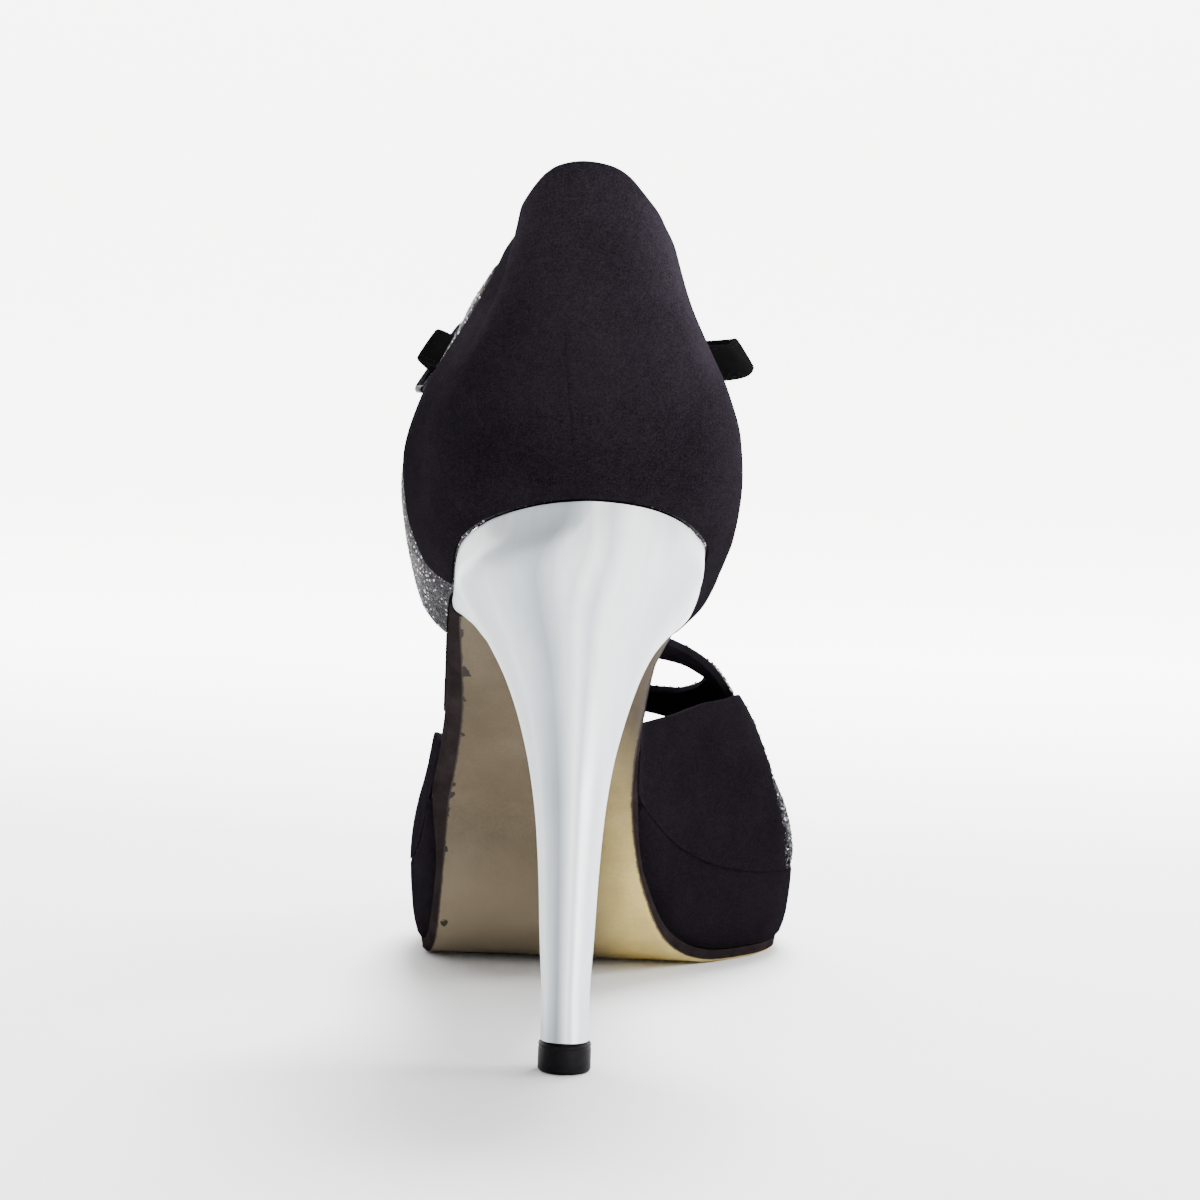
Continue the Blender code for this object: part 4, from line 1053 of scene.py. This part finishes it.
def makePanel(name, node, first, last):
    rows = vamp["panelRows"]

    def place(u, v):
        turn = mix(first, last, u)
        y = at(mix(vampEdge["rear"](turn), vampEdge["panel"](turn), v))
        point = vampPoint(y, turn, 0)
        # the lower edge is lapped a little over the platform's cover
        point.z -= vamp["lap"] * clamp(1 - min(turn, 180 - turn) / 3)
        return point

    piece = gridPiece(name, rows, rows, place)
    dress(piece, "panelSuede", "panelSuede")
    if sum(polygon.normal.x * (90 - first) for polygon in piece.data.polygons) < 0:
        piece.data.flip_normals()
    if first == 0:
        # loose glitter clings to the front edge of the inner panel
        storeValue(piece, "sparkle", lambda vertex: float(
            vertex.index // (rows + 1) > rows - vamp["fringeRows"]))
        scatterGrains(piece, "panelFringe")
    thickenSkin(piece, shoe["overlay"], 0.0002)
    seat(piece, node)


makeVamp()
makePanel("innerPanel", "vamp_panel_medial", 0, vamp["panelMedial"])
makePanel("outerPanel", "vamp_panel_lateral", vamp["panelLateral"], 180)
print("vamp ready")

# Straps and buckle
strap = {
    "width": 0.0075, "thick": 0.0016, "height": 0.1304, "reach": at(0.509), "ankle": 0.0625,
    "lean": math.radians(36), "buckleLean": math.radians(34), "gap": 0.0011,
    "across": 0.0170, "along": 0.0125, "wire": 0.0008, "prong": 0.0006, "slot": 0.002,
    "buckleAt": 0.330, "buckleTurn": math.radians(-14), "ears": (0.205, 0.225, 0.245, 0.262),
}
# Prong slots: how far ahead of the bar and above it, length and depth
prongSlots = {"ankleStrap": (0.0045, 0.0015, 0.0075, 0.0045), "buckleStrap": (0.0003, 0, 0.0076, 0.0068)}
# Stitches: spacing, half length, half thickness, and their place on the strap's half section
stitch = {"pitch": 0.0021, "long": 0.00075, "thick": 0.00016, "edge": 0.37, "face": 0.42}
# Half section of a folded strap: share of the half width, share of the half thickness
strapSection = [(0.0, 1.0), (0.45, 0.98), (0.66, 0.93), (0.72, 0.80), (0.78, 0.90), (0.90, 0.80),
                (0.97, 0.50), (1.0, 0.0)]
barAt = strap["wire"] - strap["along"] / 2


def buckleAxes():
    centre = Vector((-strap["ankle"] * 0.505, at(strap["buckleAt"]), strap["height"]))
    along = Vector((math.sin(strap["buckleTurn"]), math.cos(strap["buckleTurn"]), 0))
    across = Vector((math.sin(strap["buckleLean"]), 0, math.cos(strap["buckleLean"])))
    across = (across - along * across.dot(along)).normalized()
    out = across.cross(along).normalized()
    if out.x > 0:
        out = -out
    return centre, along, across, out


buckleCentre, buckleAlong, buckleAcross, buckleOut = buckleAxes()


def bucklePoint(along, across, out):
    return buckleCentre + buckleAlong * along + buckleAcross * across + buckleOut * out


def earPoint(side, along):
    turn = turnAt(along) * (-1 if side == "medial" else 1)
    rise = topLine(along) * shoe["counter"] + shoe["heelHeight"] - bedHeight(at(along))
    middle = (strap["height"] - bedHeight(at(along))) / rise
    half = strap["width"] / 2 / rise
    depth = -(overlayStep + shoe["wall"] + strap["gap"] + strap["thick"] / 2)
    low = quarterPoint(turn, middle - half, depth)
    high = quarterPoint(turn, middle + half, depth)
    return (low + high) / 2, (high - low).normalized()


def curveThrough(stops, count):
    path = []
    spans = len(stops) - 1
    for step in range(count + 1):
        place = min(spans - 1e-9, step / count * spans)
        row = int(place)
        share = place - row
        picks = [max(0, row - 1), row, row + 1, min(spans, row + 2)]
        made = []
        for part in (0, 1):
            p0, p1, p2, p3 = (stops[pick][part] for pick in picks)
            made.append(0.5 * (2 * p1 + (p2 - p0) * share
                               + (2 * p0 - 5 * p1 + 4 * p2 - p3) * share ** 2
                               + (3 * p1 - p0 - 3 * p2 + p3) * share ** 3))
        path.append((made[0], made[1].normalized()))
    return path


def anklePath(count):
    half = strap["ankle"] / 2
    rise = 0.03 * shoe["counter"]
    route = [(0.820, 0.540, 0.40, 0.10), (0.900, 0.640, 1.30, 0.00), (0.850, 0.760, 1.30, -0.20),
             (0.660, 0.880, 1.10, -0.45), (0.340, 0.965, 1.00, -0.55), (-0.060, 1.000, 1.00, -0.60),
             (-0.450, 0.970, 0.90, -0.50), (-0.780, 0.880, 0.60, -0.35),
             (-0.950, 0.780, 0.24, -0.10)]
    path = [earPoint("medial", along) for along in strap["ears"]]
    for x, y, z, back in route:
        lean = mix(strap["buckleLean"], strap["lean"], easeStep(-1, 0, x))
        across = Vector((-math.sin(lean) * x, math.sin(lean) * back, math.cos(lean)))
        path.append((Vector((half * x, strap["reach"] * y, strap["height"] + rise * z)),
                     across.normalized()))
    bar = -barAt
    under = strap["wire"] + 2 * shoe["gap"] + strap["thick"] / 2
    over = strap["wire"] + 3 * shoe["gap"] + 1.5 * strap["thick"]
    level = 0.2 * bar
    for along, out in ((bar + 2.6 * level, -under), (bar - level, -under), (0.1 * bar, 0.3 * over),
                       (-0.55 * bar, 0.94 * over), (-bar - 0.3 * level, over),
                       (-bar - 4 * level, 0.7 * over), (-bar - 9 * level, 0.35 * over)):
        path.append((bucklePoint(along, 0, out), buckleAcross))
    return curveThrough(path, count)


def loopPoints(radius, start, sweep, steps):
    # a run of points round the buckle's bar
    angles = [math.radians(start + sweep * step / steps) for step in range(steps + 1)]
    return [bucklePoint(barAt + radius * math.cos(angle), 0, radius * math.sin(angle))
            for angle in angles]


def shortPath(count):
    loop = strap["wire"] + shoe["gap"] + strap["thick"] / 2
    path = [earPoint("lateral", along) for along in strap["ears"]]
    path.append((bucklePoint(barAt - 0.0022, 0, -loop), buckleAcross))
    return curveThrough(path, count) + [(spot, buckleAcross) for spot in loopPoints(loop, -90, 280, 24)]


def strapAxes(path, place):
    centre, across = path[place]
    before = path[max(0, place - 1)][0]
    after = path[min(len(path) - 1, place + 1)][0]
    along = (after - before).normalized()
    across = (across - along * across.dot(along)).normalized()
    return centre, along, across, along.cross(across)


def strapPiece(name, path):
    ring = strapSection + [(x, -y) for x, y in strapSection[-2::-1]]
    ring = ring + [(-x, y) for x, y in ring[-2:0:-1]]
    count = len(ring)

    def place(u, v):
        centre, along, across, out = strapAxes(path, round(v * (len(path) - 1)))
        x, y = ring[round(u * count) % count]
        return centre + across * (x * strap["width"] / 2) + out * (y * strap["thick"] / 2)

    piece = gridPiece(name, count, len(path) - 1, place)
    weldAndFill(piece)
    return piece


def addStitches(name, path, first, last):
    # One thread stitch is modelled and copied along both edges.
    deselectAll()
    bpy.ops.mesh.primitive_uv_sphere_add(segments=8, ring_count=5, radius=1)
    seed = bpy.context.object
    shape = [vertex.co.copy() for vertex in seed.data.vertices]
    faces = [tuple(polygon.vertices) for polygon in seed.data.polygons]
    mesh = bpy.data.meshes.new(name)
    form = bmesh.new()
    travelled = 0.0
    for place in range(first, last):
        centre, along, across, out = strapAxes(path, place)
        travelled += (path[place + 1][0] - centre).length
        if travelled < stitch["pitch"]:
            continue
        travelled -= stitch["pitch"]
        for sideSign, faceSign in ((-1, -1), (-1, 1), (1, -1), (1, 1)):
            spot = (centre + across * (sideSign * stitch["edge"] * strap["width"])
                    + out * (faceSign * stitch["face"] * strap["thick"]))
            made = [form.verts.new(spot + along * (co.z * stitch["long"])
                                   + across * (co.x * stitch["thick"])
                                   + out * (co.y * stitch["thick"])) for co in shape]
            for face in faces:
                form.faces.new([made[corner] for corner in face])
    bmesh.ops.recalc_face_normals(form, faces=form.faces)
    form.to_mesh(mesh)
    form.free()
    bpy.data.objects.remove(seed, do_unlink=True)
    piece = bpy.data.objects.new(name, mesh)
    bpy.context.scene.collection.objects.link(piece)
    finishPiece(piece, 60, "thread", None)


def cutSlot(piece, place, size):
    deselectAll()
    bpy.ops.mesh.primitive_cube_add(size=1)
    cutter = bpy.context.object
    for vertex in cutter.data.vertices:
        vertex.co = bucklePoint(*(place[axis] + vertex.co[axis] * size[axis] for axis in range(3)))
    weldAndFill(cutter, fill=False)
    applyModifier(piece, "BOOLEAN", operation="DIFFERENCE", solver="EXACT", use_self=True,
                  object=cutter)
    bpy.data.objects.remove(cutter, do_unlink=True)
    print(piece.name, len(piece.data.polygons), "faces after its slot")


def makeStrap(name, node, path):
    piece = strapPiece(name, path)
    ahead, above, length, depth = prongSlots[name]
    cutSlot(piece, (barAt + ahead, 0, above), (length, strap["slot"], depth))
    finishPiece(piece, 35, "strapLeather", node)


def wirePiece(name, points, radius, cyclic, node):
    line = bpy.data.curves.new(name, "CURVE")
    line.dimensions = "3D"
    line.bevel_depth = radius
    line.bevel_resolution = 5
    line.use_fill_caps = not cyclic
    spline = line.splines.new("POLY")
    spline.points.add(len(points) - 1)
    for target, point in zip(spline.points, points):
        target.co = (*point, 1)
    spline.use_cyclic_u = cyclic
    curve = bpy.data.objects.new(name, line)
    bpy.context.scene.collection.objects.link(curve)
    makeActive(curve)
    bpy.ops.object.convert(target="MESH")
    piece = bpy.context.object
    weldAndFill(piece, fill=False)
    finishPiece(piece, 50, "gunmetal", node)


def makeStraps():
    path = anklePath(320)
    makeStrap("ankleStrap", "ankle_strap", path)
    addStitches("strapStitches", path, 6, 315)
    makeStrap("buckleStrap", "buckle_strap", shortPath(60))


def makeBuckle():
    halfAcross = strap["across"] / 2 - strap["wire"]
    halfAlong = -barAt
    corner = 2.2 * strap["wire"]
    points = []
    for start, (side, end) in enumerate(((1, 1), (1, -1), (-1, -1), (-1, 1))):
        for step in range(9):
            angle = math.radians(90 - 90 * start - 11.25 * step)
            points.append(bucklePoint(end * (halfAlong - corner) + corner * math.sin(angle),
                                      side * (halfAcross - corner) + corner * math.cos(angle), 0))
    wirePiece("buckleFrame", points, strap["wire"], True, "buckle")
    hook = strap["wire"] + shoe["gap"] + strap["prong"]
    prongEnd = strap["along"] / 2 + 0.3 * strap["wire"]
    points = loopPoints(hook, -200, 290, 19)
    for share in (0.35, 0.55, 0.7, 0.85, 1.0):
        points.append(bucklePoint(mix(barAt, prongEnd, share), 0, hook))
    wirePiece("buckleTongue", points, strap["prong"], False, "buckle_prong")


makeStraps()
makeBuckle()
print("straps ready")

# Floor, backdrop and soft light
studio = {"half": 5.0, "near": -5.0, "far": 1.6, "floor": (0.87, 0.875, 0.88, 1),
          "sweepSteps": 12, "sweepStep": 0.09, "wall": 2.5, "worldStrength": 0.38,
          "aim": (0, 0.08, 0.07)}
# Place, size and power of each light. Glossy surfaces alone see the last four.
lights = {
    "skyPanel": ((0.12, 0.60, 1.10), 0.5, 50), "sidePanel": ((1.0, 0.30, 0.60), 0.5, 14),
    "keyPanel": ((0.9, -0.75, 0.85), 0.8, 6), "glossRight": ((1.0, -1.1, 0.35), 1.1, 34),
    "glossFront": ((-0.1, -1.6, 0.5), 1.0, 6), "glossLeft": ((-1.3, -0.1, 0.9), 2.2, 13),
    "glossAbove": ((-0.1, -0.7, 1.6), 1.7, 12),
}


def makeStage():
    deselectAll()
    bpy.ops.mesh.primitive_plane_add(size=1, location=(0, 0, 0))
    floor = bpy.context.object
    floor.name = "studioFloor"
    for vertex in floor.data.vertices:
        vertex.co.x *= 2 * studio["half"]
        vertex.co.y = mix(studio["near"], studio["far"], vertex.co.y + 0.5)
    # the far edge is extruded up in a soft sweep
    makeActive(floor)
    bpy.ops.object.mode_set(mode="EDIT")
    bpy.ops.mesh.select_all(action="DESELECT")
    form = bmesh.from_edit_mesh(floor.data)
    for edge in form.edges:
        edge.select_set(all(vertex.co.y > studio["far"] - 0.1 for vertex in edge.verts))
    form.select_flush(True)
    bmesh.update_edit_mesh(floor.data)
    moves = []
    for step in range(studio["sweepSteps"]):
        angle = math.radians(90 * (step + 0.5) / studio["sweepSteps"])
        moves.append((0, math.cos(angle) * studio["sweepStep"], math.sin(angle) * studio["sweepStep"]))
    for move in moves + [(0, 0, studio["wall"])]:
        bpy.ops.mesh.extrude_edges_move(TRANSFORM_OT_translate={"value": move})
    bpy.ops.object.mode_set(mode="OBJECT")
    smoothShade(floor, 60)
    material, tree, shader = newFinish("paleFloor", {
        "Base Color": studio["floor"], "Roughness": 0.65, "Specular IOR Level": 0.15,
        "Emission Strength": 1.0})
    # beyond the shadows the backdrop glows a little, so that no horizon shows
    along = splitAxes(tree, objectPlace(tree))["Y"]
    far = slopeNode(tree, along, 1.0, -0.3, limit=True)
    glow = rampNode(tree, far, [(0.0, (0, 0, 0)), (0.7, (5.2, 5.1, 5.0))])
    behind = slopeNode(tree, along, -2.0, -1.3, limit=True)
    feed(tree, shader, {"Emission Color": mixColour(tree, behind, glow, (1.4, 1.4, 1.4, 1))})
    floor.data.materials.append(material)


def areaLight(name, place, size, power):
    deselectAll()
    bpy.ops.object.light_add(type="AREA", location=place)
    light = bpy.context.object
    light.name = name
    light.data.size = size
    light.data.energy = power
    aim = Vector(studio["aim"]) - Vector(place)
    light.rotation_euler = aim.to_track_quat("-Z", "Y").to_euler()
    if name.startswith("gloss"):
        light.visible_diffuse = False


def makeLight():
    world = bpy.data.worlds.new("studioWorld")
    world.use_nodes = True
    tree = world.node_tree
    # the room is a little dimmer on the outer side of the shoe
    heading = addNode(tree, "ShaderNodeTexCoord").outputs["Generated"]
    side = slopeNode(tree, splitAxes(tree, heading)["X"], 0.5, 0.5)
    room = rampNode(tree, side, [(0.0, (0.70, 0.72, 0.74)), (0.5, (0.95, 0.96, 0.97)),
                                 (1.0, (1.0, 1.0, 1.0))])
    feed(tree, tree.nodes["Background"], {0: room, 1: studio["worldStrength"]})
    bpy.context.scene.world = world
    for name, settings in lights.items():
        areaLight(name, *settings)


makeStage()
makeLight()
print("studio ready")
